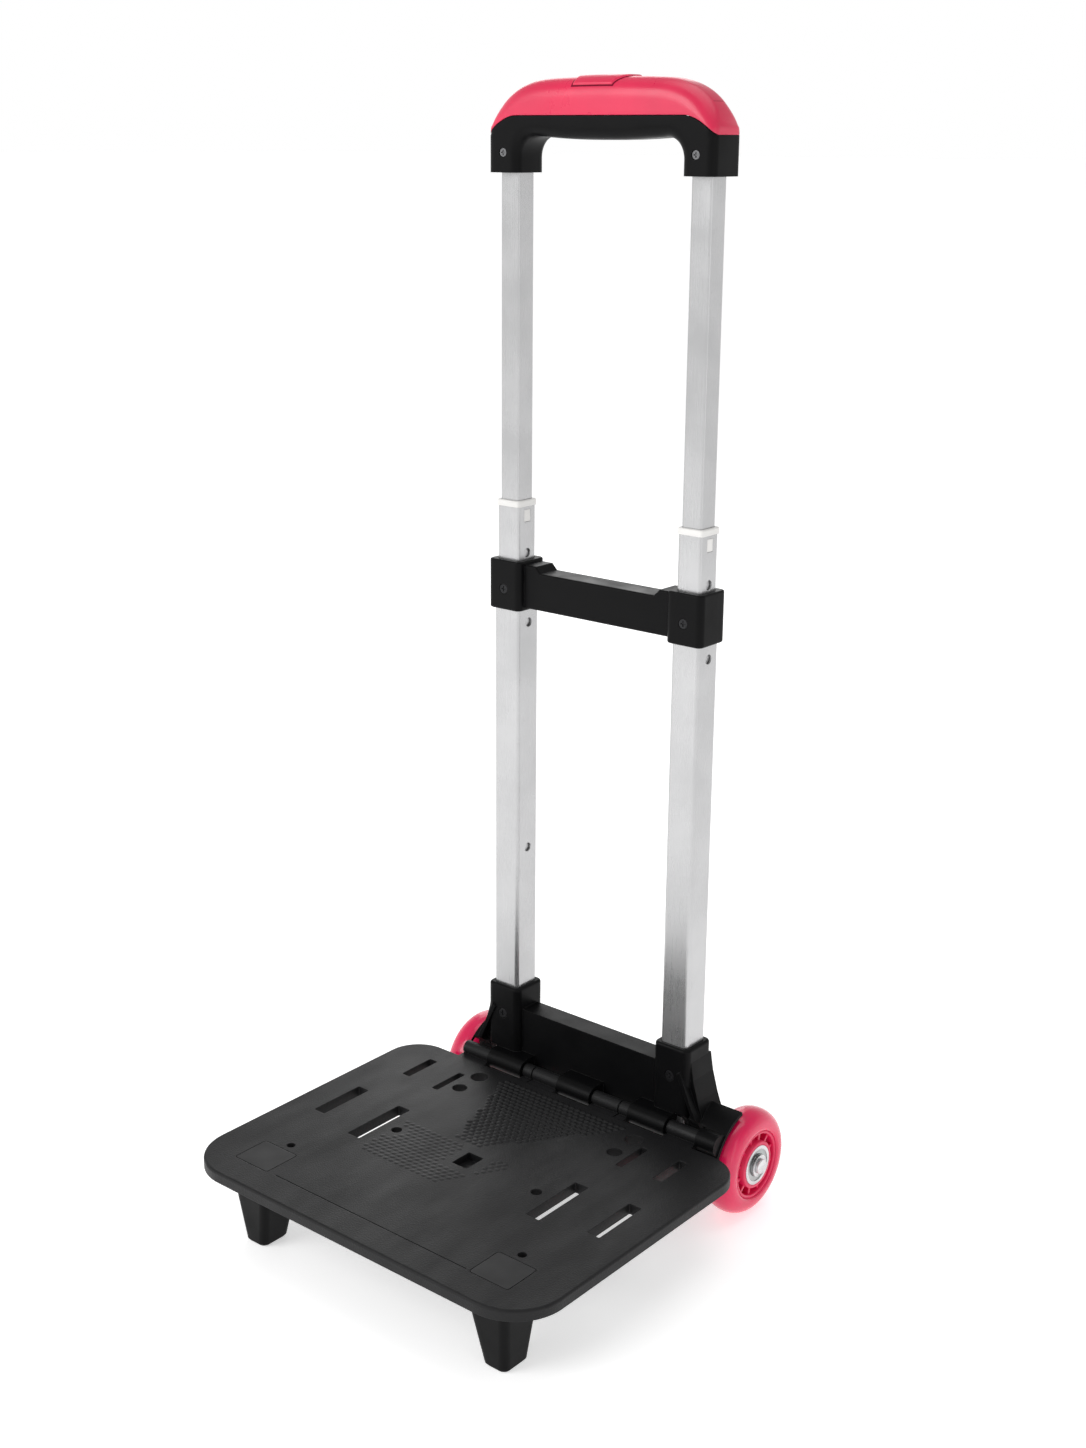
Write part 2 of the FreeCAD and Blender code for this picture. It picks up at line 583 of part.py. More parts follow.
def circlip(word, side):
    """Open retaining ring in the axle's end groove."""
    low = f"{side} * (wheel_mid + wheel_half + 1.1) - 0.5"
    clip = ring(f"clip_ring_{word}", "axle_radius + 2.2", "axle_radius - 0.4", low, f"({low}) + 1")
    mouth = box(f"clip_mouth_{word}", f"({low}) - 1", f"({low}) + 2", "axle_y - 2", "axle_y + 2",
                "wheel_radius - 12", "wheel_radius")
    return cut(f"clip_{word}", clip, [mouth])


finish(group("circlips", [circlip(w, s) for w, s in SIDES.items()]), "axle_circlips")
finish(group("washers", [ring(f"washer_{w}", "axle_radius + 3.5", "axle_radius",
                              f"{s} * (channel_half + 1.5) - 1.3", f"{s} * (channel_half + 1.5) + 1.3")
                         for w, s in SIDES.items()]), "axle_washers")


# ---------------------------------------------------------------- wheels
def tyre(word, side):
    """Solid cast tyre: flat flanks and a round crown, revolved about the axle."""
    body = doc.addObject("PartDesign::Body", f"tyre_{word}_body")
    mid = f"{side} * wheel_mid"

    def profile(sketch):
        m, half, core, top = number(mid), DIMS["wheel_half"], DIMS["core_radius"], DIMS["wheel_radius"]
        flank = core + 2.5
        low, high = FreeCAD.Vector(m - half, core, 0), FreeCAD.Vector(m + half, core, 0)
        knee_low, knee_high = FreeCAD.Vector(m - half, flank, 0), FreeCAD.Vector(m + half, flank, 0)
        sketch.addGeometry(Part.LineSegment(low, high))
        sketch.addGeometry(Part.LineSegment(high, knee_high))
        sketch.addGeometry(Part.Arc(knee_high, FreeCAD.Vector(m, top, 0), knee_low))
        sketch.addGeometry(Part.LineSegment(knee_low, low))
        ends = [(0, 2, 1, 1), (1, 2, 2, 1), (2, 2, 3, 1), (3, 2, 0, 1)]
        if (sketch.Geometry[2].StartPoint - knee_high).Length > 1e-6:
            ends = [(0, 2, 1, 1), (1, 2, 2, 2), (2, 1, 3, 1), (3, 2, 0, 1)]
        for a, b, c, d in ends:
            sketch.addConstraint(Sketcher.Constraint("Coincident", a, b, c, d))
        pin_point(sketch, 0, 1, f"{mid} - wheel_half", "core_radius")
        pin_point(sketch, 1, 1, f"{mid} + wheel_half", "core_radius")
        pin_point(sketch, 1, 2, f"{mid} + wheel_half", "core_radius + 2.5")
        pin_point(sketch, 3, 1, f"{mid} - wheel_half", "core_radius + 2.5")
        held = sketch.addConstraint(Sketcher.Constraint("Radius", 2, sketch.Geometry[2].Radius))
        bind(sketch, f"Constraints[{held}]",
             "(wheel_half * wheel_half + (wheel_radius - core_radius - 2.5) * "
             "(wheel_radius - core_radius - 2.5)) / (2 * (wheel_radius - core_radius - 2.5))")

    sketch = body_sketch(body, f"tyre_profile_{word}", "XY", profile)
    turned = body.newObject("PartDesign::Revolution", f"tyre_turned_{word}")
    turned.Profile = sketch
    turned.ReferenceAxis = (sketch, ["H_Axis"])
    turned.Angle = 360
    doc.recompute()
    moved = doc.addObject("Part::Compound", f"tyre_{word}_placed")
    moved.Links = [body]
    place(body, "0", "axle_y", "wheel_radius")
    return finish(moved, f"tyre_{word}")


def wheel_core(word, side):
    """Moulded core: bearing seat, rim and centre web joined by radial ribs."""
    mid = f"{side} * wheel_mid"
    reaches = {"hub": "wheel_half", "rim": "(wheel_half - 0.5)", "web": "1.5"}
    spans = {name: (f"{mid} - {half}", f"{mid} + {half}") for name, half in reaches.items()}
    hub = ring(f"core_hub_{word}", "hub_radius", "bearing_radius", *spans["hub"])
    rim = ring(f"core_rim_{word}", "core_radius", "core_radius - 2", *spans["rim"])
    web = ring(f"core_web_{word}", "core_radius - 1", "hub_radius - 1", *spans["web"])
    ribs = []
    for i in range(12):
        rib = doc.addObject("Part::Box", f"core_rib_{word}_{i}")
        for prop, size in (("Length", "2 * (wheel_half - 3)"), ("Width", "1.6"),
                           ("Height", "core_radius - hub_radius - 1")):
            bind(rib, prop, size)
        angle = math.radians(30 * i)
        turn = FreeCAD.Rotation(FreeCAD.Vector(1, 0, 0), 30 * i)
        rib.Placement = FreeCAD.Placement(FreeCAD.Vector(), turn)
        bind(rib, "Placement.Base.x", f"{mid} - (wheel_half - 3)")
        across, along = math.cos(angle), math.sin(angle)
        bind(rib, "Placement.Base.y", f"axle_y - 0.8 * {across:.9f} - (hub_radius - 0.5) * {along:.9f}")
        bind(rib, "Placement.Base.z",
             f"wheel_radius - 0.8 * {along:.9f} + (hub_radius - 0.5) * {across:.9f}")
        ribs.append(rib)
    # A thin shoulder between the bearing seats keeps the two bearings apart.
    stop = ring(f"core_stop_{word}", "bearing_radius + 1", "bearing_radius - 2",
                f"{mid} - (wheel_half - bearing_width)", f"{mid} + (wheel_half - bearing_width)")
    return finish(fuse(f"core_{word}", [hub, rim, web, stop] + ribs), f"wheel_core_{word}")


def bearings(word, side):
    """Two shielded ball bearings: races, balls and shields as separate solids."""
    outer, inner, balls, shields = [], [], [], []
    for place_name, sign in (("out", 1), ("in", -1)):
        near = f"{side * sign} * (wheel_half - bearing_width)"
        far = f"{side * sign} * wheel_half"
        low, high = (near, far) if side * sign > 0 else (far, near)
        low, high = f"{side} * wheel_mid + {low}", f"{side} * wheel_mid + {high}"
        tag = f"{word}_{place_name}"
        outer.append(ring(f"outer_race_{tag}", "bearing_radius", "race_outer", low, high))
        inner.append(ring(f"inner_race_{tag}", "race_inner", "axle_radius", low, high))
        for end, start in (("a", f"({low}) + 0.4"), ("b", f"({high}) - 0.8")):
            shields.append(ring(f"shield_{tag}_{end}", "race_outer", "race_inner + 0.35",
                                start, f"({start}) + 0.4"))
        for i in range(9):
            angle = math.radians(40 * i)
            ball = doc.addObject("Part::Sphere", f"ball_{tag}_{i}")
            bind(ball, "Radius", "ball_radius")
            pitch = "(race_inner + race_outer) / 2"
            place(ball, f"({low} + {high}) / 2", f"axle_y + {pitch} * {math.cos(angle):.9f}",
                  f"wheel_radius + {pitch} * {math.sin(angle):.9f}")
            balls.append(ball)
    finish(group(f"outer_races_{word}", outer), f"bearing_outer_races_{word}")
    finish(group(f"inner_races_{word}", inner), f"bearing_inner_races_{word}")
    finish(group(f"shields_{word}", shields), f"bearing_shields_{word}")
    finish(group(f"balls_{word}", balls), f"bearing_balls_{word}")
    finish(ring(f"spacer_{word}", "race_inner - 0.4", "axle_radius",
                f"{side} * wheel_mid - (wheel_half - bearing_width)",
                f"{side} * wheel_mid + (wheel_half - bearing_width)"), f"bearing_spacer_{word}")


for word, side in SIDES.items():
    tyre(word, side)
    wheel_core(word, side)
    bearings(word, side)


# ---------------------------------------------------------------- deck and its feet
def deck_blank():
    """Flat deck with rounded corners and a softened top edge."""
    body = doc.addObject("PartDesign::Body", "deck_blank")
    points = [("0 - deck_half", "0 - deck_front"), ("deck_half", "0 - deck_front"),
              ("deck_half", "0 - deck_back"), ("0 - deck_half", "0 - deck_back")]
    outline = body_sketch(body, "deck_outline", "XY", lambda s: polygon(s, points),
                          "deck_top - deck_rim")
    pad = feature(body, "Pad", "deck_slab", outline, "deck_rim")
    front = round_edges(body, "deck_front_corners", pad, "deck_corner",
                        lambda e: is_along(e, "z") and middle_of(e).y < -100)
    corners = round_edges(body, "deck_back_corners", front, "deck_back_corner",
                          lambda e: is_along(e, "z") and abs(middle_of(e).y + DIMS["deck_back"]) < 0.1)
    round_edges(body, "deck_top_edge", corners, "1.6",
                lambda e: min(v.Z for v in e.Vertexes) > DIMS["deck_top"] - 0.01)
    return body


SLOTS = [
    # centre x, half width, back y, front y
    ("105", "3.25", "-45", "-73"), ("77", "2.5", "-47", "-75"),
    ("113", "4.5", "-105", "-146"), ("74", "5", "-107", "-154"),
]
HOLES = [("65", "-43", "6"), ("65", "-63", "5"), ("58", "-131", "3.5"), ("95", "-188", "2.8")]


def slot(name, side, x, half, back, front, low, high, grow="0"):
    """Long rectangular hole between two heights."""
    return prism(name, "XY", lambda s: rounded(
        s, f"{side} * {x} - {half} - {grow}", f"{side} * {x} + {half} + {grow}",
        f"{front} - {grow}", f"{back} + {grow}", "0.8"), low, f"{high} - ({low})")


def deck():
    blank = deck_blank()
    under = "deck_top - deck_plate"
    low = "deck_top - deck_rim"
    hollow = prism("deck_hollow", "XY", lambda s: rounded(
        s, "0 - deck_half + 3", "deck_half - 3", "0 - deck_front + 3", "0 - deck_back - 3",
        "deck_corner - 3"), f"{low} - 1", "deck_rim - deck_plate + 1")
    shell = cut("deck_shell", blank, [hollow])
    solids = [shell]
    for i, y in enumerate((60, 90, 120, 150, 180)):
        solids.append(box(f"deck_cross_rib_{i}", "0 - deck_half + 2", "deck_half - 2", f"0 - {y}",
                          f"0 - {y} + 1.8", f"{low} + 0.5", f"{under} + 0.1"))
    for i, x in enumerate((-120, -92, -48, -24, 0, 24, 48, 92, 120)):
        # The outermost ribs stop short of the round front corners.
        short = "8" if abs(x) > 100 else "2"
        solids.append(box(f"deck_long_rib_{i}", f"{x} - 0.9", f"{x} + 0.9", f"{short} - deck_front",
                          "0 - deck_back - 2", f"{low} + 0.5", f"{under} + 0.1"))
    cuts = []
    knuckles = []
    for word, side in SIDES.items():
        for i, (x, half, back, front) in enumerate(SLOTS):
            solids.append(slot(f"slot_wall_{word}_{i}", side, x, half, back, front, low,
                               f"({under} + 0.1)", "2"))
            cuts.append(slot(f"slot_{word}_{i}", side, x, half, back, front, f"({low} - 1)",
                             "(deck_top + 1)"))
        for i, (x, y, radius) in enumerate(HOLES):
            solids.append(rod(f"hole_boss_{word}_{i}", f"{radius} + 3", low, f"{under} + 0.1",
                              f"{side} * {x}", y, "z"))
            cuts.append(rod(f"hole_{word}_{i}", radius, f"{low} - 1", "deck_top + 1",
                            f"{side} * {x}", y, "z"))
        x, half_x, half_y = f"{side} * foot_x", "window_long / 2", "window_deep / 2"
        cuts.append(prism(f"foot_window_{word}", "XY", lambda s, c=x: rounded(
            s, f"{c} - {half_x}", f"{c} + {half_x}", f"foot_y - {half_y}", f"foot_y + {half_y}", "2"),
            f"{low} - 1", "deck_rim + 2"))
        cuts.append(box(f"foot_room_{word}", f"{x} - foot_long / 2 - 2.5", f"{x} + foot_long / 2 + 2.5",
                        "foot_y - foot_deep / 2 - 1", "foot_y + foot_deep / 2 - 1",
                        f"{low} - 1", under))
        for i, (start, end) in enumerate((("knuckle_one", "knuckle_one + 21.5"),
                                          ("knuckle_one + 22.5", "knuckle_two"),
                                          ("knuckle_three", "knuckle_end"))):
            ends = (start, end) if side > 0 else (f"0 - ({end})", f"0 - ({start})")
            knuckles.append(rod(f"deck_barrel_{word}_{i}", "deck_knuckle", *ends, "hinge_y", "hinge_z"))
            knuckles.append(box(f"deck_arm_{word}_{i}", *ends, "0 - deck_back - 3", "hinge_y",
                                "arm_low", "deck_top - 0.3"))
    solids.append(box("recess_cup", "0 - 6.5", "10.5", "0 - 140.5", "0 - 119.5", low, "deck_top - 1"))
    cuts.append(box("centre_recess", "0 - 4", "8", "0 - 138", "0 - 122", "deck_top - 5", "deck_top + 1"))
    cuts.append(box("front_groove", "0 - 76", "80", "0 - 219.3", "0 - 218.6", "deck_top - 0.6",
                    "deck_top + 1"))
    cuts.append(rod("deck_pin_bore", "pin_radius + 0.1", "0 - knuckle_end - 1", "knuckle_end + 1",
                    "hinge_y", "hinge_z"))
    return cut("deck_body", fuse("deck_solid", solids + knuckles), cuts)


finish(deck(), "deck_platform")


def foot(word, side):
    """Tapered foot: a flush head in the deck's window, a flange under it and a leg."""
    x = f"{side} * foot_x"
    body = doc.addObject("PartDesign::Body", f"foot_leg_{word}")
    sections = []
    sole_x = f"{side} * (foot_x + 2)"
    for i, (centre, long, deep, height, radius) in enumerate((
            (sole_x, "(sole_long - 2.4)", "sole_deep - 2.4", "0", "4"),
            (sole_x, "sole_long", "sole_deep", "1.4", "5"),
            (x, "foot_long", "foot_deep - 2", "foot_neck", "5"))):
        sections.append(body_sketch(body, f"foot_section_{word}_{i}", "XY", lambda s, c=centre, a=long,
                        d=deep, r=radius: rounded(s, f"{c} - {a} / 2", f"{c} + {a} / 2",
                                                  f"foot_y - ({d}) / 2", f"foot_y + ({d}) / 2", r), height))
    loft = body.newObject("PartDesign::AdditiveLoft", f"foot_taper_{word}")
    loft.Profile = sections[0]
    loft.Sections = sections[1:]
    loft.Ruled = True
    neck = prism(f"foot_neck_{word}", "XY", lambda s: rounded(
        s, f"{x} - foot_long / 2", f"{x} + foot_long / 2", "foot_y - foot_deep / 2 + 1",
        "foot_y + foot_deep / 2 - 1", "5"), "foot_neck", "deck_top - deck_plate - foot_neck - 0.05")
    flange = box(f"foot_flange_{word}", f"{x} - foot_long / 2 - 2", f"{x} + foot_long / 2 + 2",
                 "foot_y - foot_deep / 2 - 0.5", "foot_y + foot_deep / 2 - 1.5",
                 "deck_top - deck_rim", "deck_top - deck_plate - 0.05")
    head = prism(f"foot_head_{word}", "XY", lambda s: rounded(
        s, f"{x} - window_long / 2 + foot_gap", f"{x} + window_long / 2 - foot_gap",
        "foot_y - window_deep / 2 + foot_gap", "foot_y + window_deep / 2 - foot_gap", "1.8"),
        "deck_top - deck_plate - 1", "deck_plate + 1")
    return finish(fuse(f"foot_body_{word}", [body, neck, flange, head]), f"foot_{word}")


for word, side in SIDES.items():
    foot(word, side)


# ---------------------------------------------------------------- cross bar
def crossbar():
    """One moulding: a sleeve around the top of each outer tube and a bar between them."""
    solids, tools = [], []
    for word, side in SIDES.items():
        centre = f"{side} * tube_half_span"
        body = doc.addObject("PartDesign::Body", f"sleeve_{word}")
        outline = body_sketch(body, f"sleeve_outline_{word}", "XY", lambda s, c=centre: rounded(
            s, f"{c} - clamp_size / 2", f"{c} + clamp_size / 2", "0 - clamp_size / 2",
            "clamp_size / 2", "clamp_corner"), "clamp_bottom")
        pad = feature(body, "Pad", f"sleeve_block_{word}", outline, "clamp_top - clamp_bottom")
        round_edges(body, f"sleeve_rims_{word}", pad, "1.2", lambda e: not is_along(e, "z"))
        solids.append(body)
        tools.append(prism(f"sleeve_bore_{word}", "XY", lambda s, c=centre: rounded(
            s, f"{c} - outer_size / 2 - slip", f"{c} + outer_size / 2 + slip",
            "0 - outer_size / 2 - slip", "outer_size / 2 + slip", "outer_corner"),
            "clamp_bottom - 1", "outer_top - clamp_bottom + 1.05"))
        tools.append(prism(f"sleeve_mouth_{word}", "XY", lambda s, c=centre: rounded(
            s, f"{c} - middle_size / 2 - 0.2", f"{c} + middle_size / 2 + 0.2",
            "0 - middle_size / 2 - 0.2", "middle_size / 2 + 0.2", "middle_corner"),
            "outer_top - 1", "clamp_top - outer_top + 2"))
        tools.append(rod(f"clamp_recess_{word}", "3.3", "0 - clamp_size / 2 - 1",
                         "0 - clamp_size / 2 + 1.6", centre, "clamp_screw_height", "y"))
        tools.append(rod(f"clamp_hole_{word}", "1.8", "0 - clamp_size / 2 - 1",
                         "0 - outer_size / 2", centre, "clamp_screw_height", "y"))
    inside = "tube_half_span - clamp_size / 2 + 1"
    bar = prism("bar_outline", "XZ", lambda s: polygon(s, [
        (f"0 - ({inside})", "bar_low"), (inside, "bar_low"), (inside, "bar_end_high"),
        ("tube_half_span - 22", "bar_end_high"), ("tube_half_span - 26", "bar_high"),
        ("0 - tube_half_span + 26", "bar_high"), ("0 - tube_half_span + 22", "bar_end_high"),
        (f"0 - ({inside})", "bar_end_high")]), "0 - bar_back", "bar_back - bar_front")
    solids.append(part_fillet("bar_rounded", bar, "1.4", lambda e: is_along(e, "x")
                              or abs(middle_of(e).z - DIMS["bar_high"] - 2) < 1.5))
    tools.append(box("bar_hollow", "0 - tube_half_span + 18", "tube_half_span - 18", "bar_front + 2.4",
                     "bar_back - 2.4", "bar_low - 1", "bar_high - 3"))
    for i, x in enumerate(("0 - 30", "0 - 10", "10", "30")):
        solids.append(box(f"bar_rib_{i}", f"{x} - 1", f"{x} + 1", "bar_front + 1", "bar_back - 1",
                          "bar_low + 2", "bar_high - 1"))
    body = cut("crossbar_shell", fuse("crossbar_solid", solids[:3]), tools)
    return fuse("crossbar_body", [body] + solids[3:])


finish(crossbar(), "crossbar_clamp")
screw_pair("crossbar_screws", "0 - clamp_size / 2 + 0.1", "clamp_screw_height", "3", "1.75",
           "0 - outer_size / 2 + outer_wall")


# ---------------------------------------------------------------- handle
def handle_whole():
    """Whole handle: two legs under a crowned grip, every corner rounded."""
    body = doc.addObject("PartDesign::Body", "handle_blank")
    shoulder = "(grip_crown - grip_sink)"
    base_points = [("0 - grip_half", shoulder), ("0 - grip_half", "grip_low"),
                   ("0 - grip_leg", "grip_low"), ("0 - grip_leg", "grip_under"),
                   ("grip_leg", "grip_under"), ("grip_leg", "grip_low"), ("grip_half", "grip_low"),
                   ("grip_half", shoulder)]

    def outline(sketch):
        spots = [FreeCAD.Vector(number(x), number(z), 0) for x, z in base_points]
        for i in range(len(spots) - 1):
            sketch.addGeometry(Part.LineSegment(spots[i], spots[i + 1]))
        crown = FreeCAD.Vector(0, DIMS["grip_crown"], 0)
        arc = sketch.addGeometry(Part.Arc(spots[-1], crown, spots[0]))
        for i in range(len(spots) - 2):
            sketch.addConstraint(Sketcher.Constraint("Coincident", i, 2, i + 1, 1))
        last = len(spots) - 2
        made = sketch.Geometry[arc]
        from_last = 1 if (made.StartPoint - spots[-1]).Length < 1e-6 else 2
        sketch.addConstraint(Sketcher.Constraint("Coincident", last, 2, arc, from_last))
        sketch.addConstraint(Sketcher.Constraint("Coincident", 0, 1, arc, 3 - from_last))
        for i, point in enumerate(base_points[:-1]):
            pin_point(sketch, i, 1, *point)
        pin_point(sketch, last, 2, *base_points[-1])
        held = sketch.addConstraint(Sketcher.Constraint("Radius", arc, made.Radius))
        bind(sketch, f"Constraints[{held}]",
             "(grip_half * grip_half + grip_sink * grip_sink) / (2 * grip_sink)")

    face = body_sketch(body, "handle_outline", "XZ", outline, "0 - grip_depth / 2")
    pad = feature(body, "Pad", "handle_slab", face, "grip_depth")
    top = round_edges(body, "handle_top_corners", pad, "grip_corner", lambda e: is_along(e, "y")
                      and middle_of(e).z > DIMS["grip_crown"] - DIMS["grip_sink"] - 1)
    inner = round_edges(body, "handle_gap_corners", top, "10", lambda e: is_along(e, "y")
                        and abs(middle_of(e).z - DIMS["grip_under"]) < 0.1)
    half = DIMS["grip_depth"] / 2
    round_edges(body, "handle_edges", inner, "grip_edge", lambda e: middle_of(e).z
                > DIMS["grip_low"] + 0.9 and abs(abs(middle_of(e).y) - half) < 0.01)
    return body


def upper_region(name, rise):
    """Space above the handle's parting line, which curves down over each leg."""
    falls = (("0", "grip_split"), ("5", "grip_split - 0.9"), ("10.5", "grip_split - 3.1"),
             ("16.5", "grip_split - 6.6"), ("21.5", "grip_side_split"), ("30.5", "grip_side_split"))
    points = [("grip_half + 9", "grip_crown + 9"), ("0 - grip_half - 9", "grip_crown + 9")]
    points += [(f"0 - (grip_half - 21.5 + {out})", f"{level} + {rise}")
               for out, level in reversed(falls)]
    points += [(f"grip_half - 21.5 + {out}", f"{level} + {rise}") for out, level in falls]
    return prism(name, "XZ", lambda s: polygon(s, points), "0 - 25", "50")


def handle_tools(tag):
    """Room for the mechanism, cut from both halves of the handle."""
    tools = [box(f"yoke_room_{tag}", "0 - 76", "76", "0 - 6", "6", "yoke_low - travel - 1",
                 "yoke_high + 0.8"),
             rod(f"spring_pit_{tag}", "4.4", "grip_under + 2", "yoke_low", "0", "0", "z"),
             prism(f"button_room_{tag}", "XY", lambda s: rounded(
                 s, "0 - button_half - 0.3", "button_half + 0.3", "button_front - 0.3",
                 "button_back + 0.3", "3.3"), "yoke_high - travel - 0.5", "30")]
    for word, side in SIDES.items():
        centre = f"{side} * tube_half_span"
        tools.append(prism(f"leg_bore_{tag}_{word}", "XY", lambda s, c=centre: rounded(
            s, f"{c} - inner_size / 2 - 0.05", f"{c} + inner_size / 2 + 0.05",
            "0 - inner_size / 2 - 0.05", "inner_size / 2 + 0.05", "inner_corner"),
            "grip_low - 1", "inner_top - grip_low + 1.05"))
        tools.append(rod(f"rod_way_{tag}_{word}", "rod_radius + 0.6", "inner_top - 1",
                         "yoke_low", centre, "0", "z"))
        tools.append(rod(f"handle_recess_{tag}_{word}", "2.8", "0 - grip_depth / 2 - 1",
                         "0 - grip_depth / 2 + 2", centre, "handle_screw_height", "y"))
        tools.append(rod(f"handle_hole_{tag}_{word}", "1.8", "0 - grip_depth / 2",
                         "0 - inner_size / 2", centre, "handle_screw_height", "y"))
    return tools


whole = handle_whole()
finish(cut("grip_body", whole, [upper_region("above_parting", "0")] + handle_tools("low")), "handle_grip")
seam = upper_region("above_seam", "0.25")
upper = doc.addObject("Part::MultiCommon", "cover_blank")
upper.Shapes = [whole, seam]
finish(cut("cover_body", upper, handle_tools("high")), "handle_cover")
screw_pair("handle_screws", "0 - grip_depth / 2 + 0.4", "handle_screw_height", "2.5", "1.75",
           "0 - inner_size / 2 + inner_wall")


def release_button():
    """Crowned push button with softened edges."""
    body = doc.addObject("PartDesign::Body", "button_body")
    outline = body_sketch(body, "button_outline", "XY", lambda s: rounded(
        s, "0 - button_half", "button_half", "button_front", "button_back", "3"), "yoke_high")
    pad = feature(body, "Pad", "button_block", outline, "button_top - yoke_high")
    round_edges(body, "button_soft", pad, "2.6", lambda e: middle_of(e).z > DIMS["button_top"] - 0.01)
    return body


finish(release_button(), "release_button")
yoke = box("yoke_bar", "0 - 74.5", "74.5", "0 - 4.5", "4.5", "yoke_low", "yoke_high - 0.02")
sockets = [rod(f"yoke_socket_{word}", "rod_radius + 0.02", "yoke_low - 1", "yoke_high - 1.8",
               f"{side} * tube_half_span", "0", "z") for word, side in SIDES.items()]
seat = rod("yoke_spring_seat", "2.2", "yoke_low - 2", "yoke_low", "0", "0", "z")
finish(cut("yoke_body", fuse("yoke_solid", [yoke, seat]), sockets), "button_yoke")
for word, side in SIDES.items():
    finish(rod(f"rod_{word}", "rod_radius", "rod_foot", "yoke_high - 2", f"{side} * tube_half_span",
               "0", "z"), f"push_rod_{word}")

coil = doc.addObject("Part::Helix", "spring_path")
bind(coil, "Pitch", "(yoke_low - grip_under - 3.4) / 4")
bind(coil, "Height", "yoke_low - grip_under - 3.4")
coil.Radius = 3.2
place(coil, "0", "0", "grip_under + 2.7")
wire = doc.addObject("Sketcher::SketchObject", "spring_wire")
wire.Placement = FreeCAD.Placement(FreeCAD.Vector(), PLANES["XZ"])
polygon(wire, [("2.8", "grip_under + 2.3"), ("3.6", "grip_under + 2.3"),
               ("3.6", "grip_under + 3.1"), ("2.8", "grip_under + 3.1")])
spring = doc.addObject("Part::Sweep", "spring_coil")
spring.Sections = [wire]
spring.Spine = (coil, [])
spring.Solid = True
spring.Frenet = True
finish(group("spring_group", [spring]), "button_spring")


# ---------------------------------------------------------------- checks and export
doc.recompute()
for obj in doc.Objects:
    assert not {"Invalid", "Error"} & set(obj.State), f"{obj.Name} is in error"
os.makedirs("parts", exist_ok=True)
for obj in finished:
    shape = obj.Shape
    assert not shape.isNull() and shape.isValid(), f"{obj.Label} is not a sound shape"
    shape.exportStep(f"parts/{obj.Label}.step")
    reach = shape.BoundBox
    print(f"{obj.Label}: {len(shape.Solids)} solids, x {reach.XMin:.1f}..{reach.XMax:.1f}, "
          f"y {reach.YMin:.1f}..{reach.YMax:.1f}, z {reach.ZMin:.1f}..{reach.ZMax:.1f}")
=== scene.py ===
import json
import math

import bmesh
import bpy
from mathutils import Matrix, Vector


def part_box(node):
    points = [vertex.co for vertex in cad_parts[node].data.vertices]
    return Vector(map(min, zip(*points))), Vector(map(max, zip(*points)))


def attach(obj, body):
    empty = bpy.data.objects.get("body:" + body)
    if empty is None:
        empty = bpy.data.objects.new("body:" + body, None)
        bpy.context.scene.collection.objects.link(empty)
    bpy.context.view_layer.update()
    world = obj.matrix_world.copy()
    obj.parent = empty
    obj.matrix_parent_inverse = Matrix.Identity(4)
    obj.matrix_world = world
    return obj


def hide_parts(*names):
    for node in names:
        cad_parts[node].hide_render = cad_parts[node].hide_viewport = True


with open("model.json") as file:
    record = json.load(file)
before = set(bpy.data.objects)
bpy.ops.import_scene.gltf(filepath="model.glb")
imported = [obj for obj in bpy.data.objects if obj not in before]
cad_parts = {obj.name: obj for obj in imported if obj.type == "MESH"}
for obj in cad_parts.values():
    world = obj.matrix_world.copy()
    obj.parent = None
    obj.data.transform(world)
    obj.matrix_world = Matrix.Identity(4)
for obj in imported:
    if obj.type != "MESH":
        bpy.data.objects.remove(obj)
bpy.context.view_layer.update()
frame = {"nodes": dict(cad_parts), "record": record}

NODES = frame["nodes"]
MM = 0.001


def node_box(name):
    low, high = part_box(name)
    return Vector(low), Vector(high)


# Driving places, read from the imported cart.
outer_low, outer_high = node_box("outer_tube_right")
TUBE_X = (outer_low.x + outer_high.x) / 2
TUBE_Y = (outer_low.y + outer_high.y) / 2
DECK_TOP = node_box("foot_right")[1].z
tyre_low, tyre_high = node_box("tyre_right")
AXLE = Vector((0, (tyre_low.y + tyre_high.y) / 2, (tyre_low.z + tyre_high.z) / 2))
WHEEL_R = (tyre_high.z - tyre_low.z) / 2


def local(x, y, z):
    """A point given in millimetres from the tubes' centre plane, in the frame's metres."""
    return Vector((x * MM, TUBE_Y + y * MM, z * MM))


# ------------------------------------------------------------------ camera, light, floor
def make_camera():
    """Camera at the photograph's place, fitted together with the cart's proportions."""
    azimuth, elevation, roll = (math.radians(a) for a in (39.723, 17.097, 0.329))
    target, distance = local(-54.35, 0, 298.653), 1.2424
    back = Vector((math.sin(azimuth) * math.cos(elevation), -math.cos(azimuth) * math.cos(elevation),
                   math.sin(elevation)))
    right = Vector((math.cos(azimuth), math.sin(azimuth), 0))
    up = back.cross(right)
    right, up = (right * math.cos(roll) + up * math.sin(roll),
                 up * math.cos(roll) - right * math.sin(roll))
    data = bpy.data.cameras.new("camera")
    data.sensor_width = 36
    data.lens = 47.52
    data.shift_x = 0.0058
    data.clip_start = 0.05
    camera = bpy.data.objects.new("camera", data)
    bpy.context.scene.collection.objects.link(camera)
    turn = Matrix((right, up, back)).transposed().to_4x4()
    camera.matrix_world = Matrix.Translation(target + back * distance) @ turn
    bpy.context.scene.camera = camera


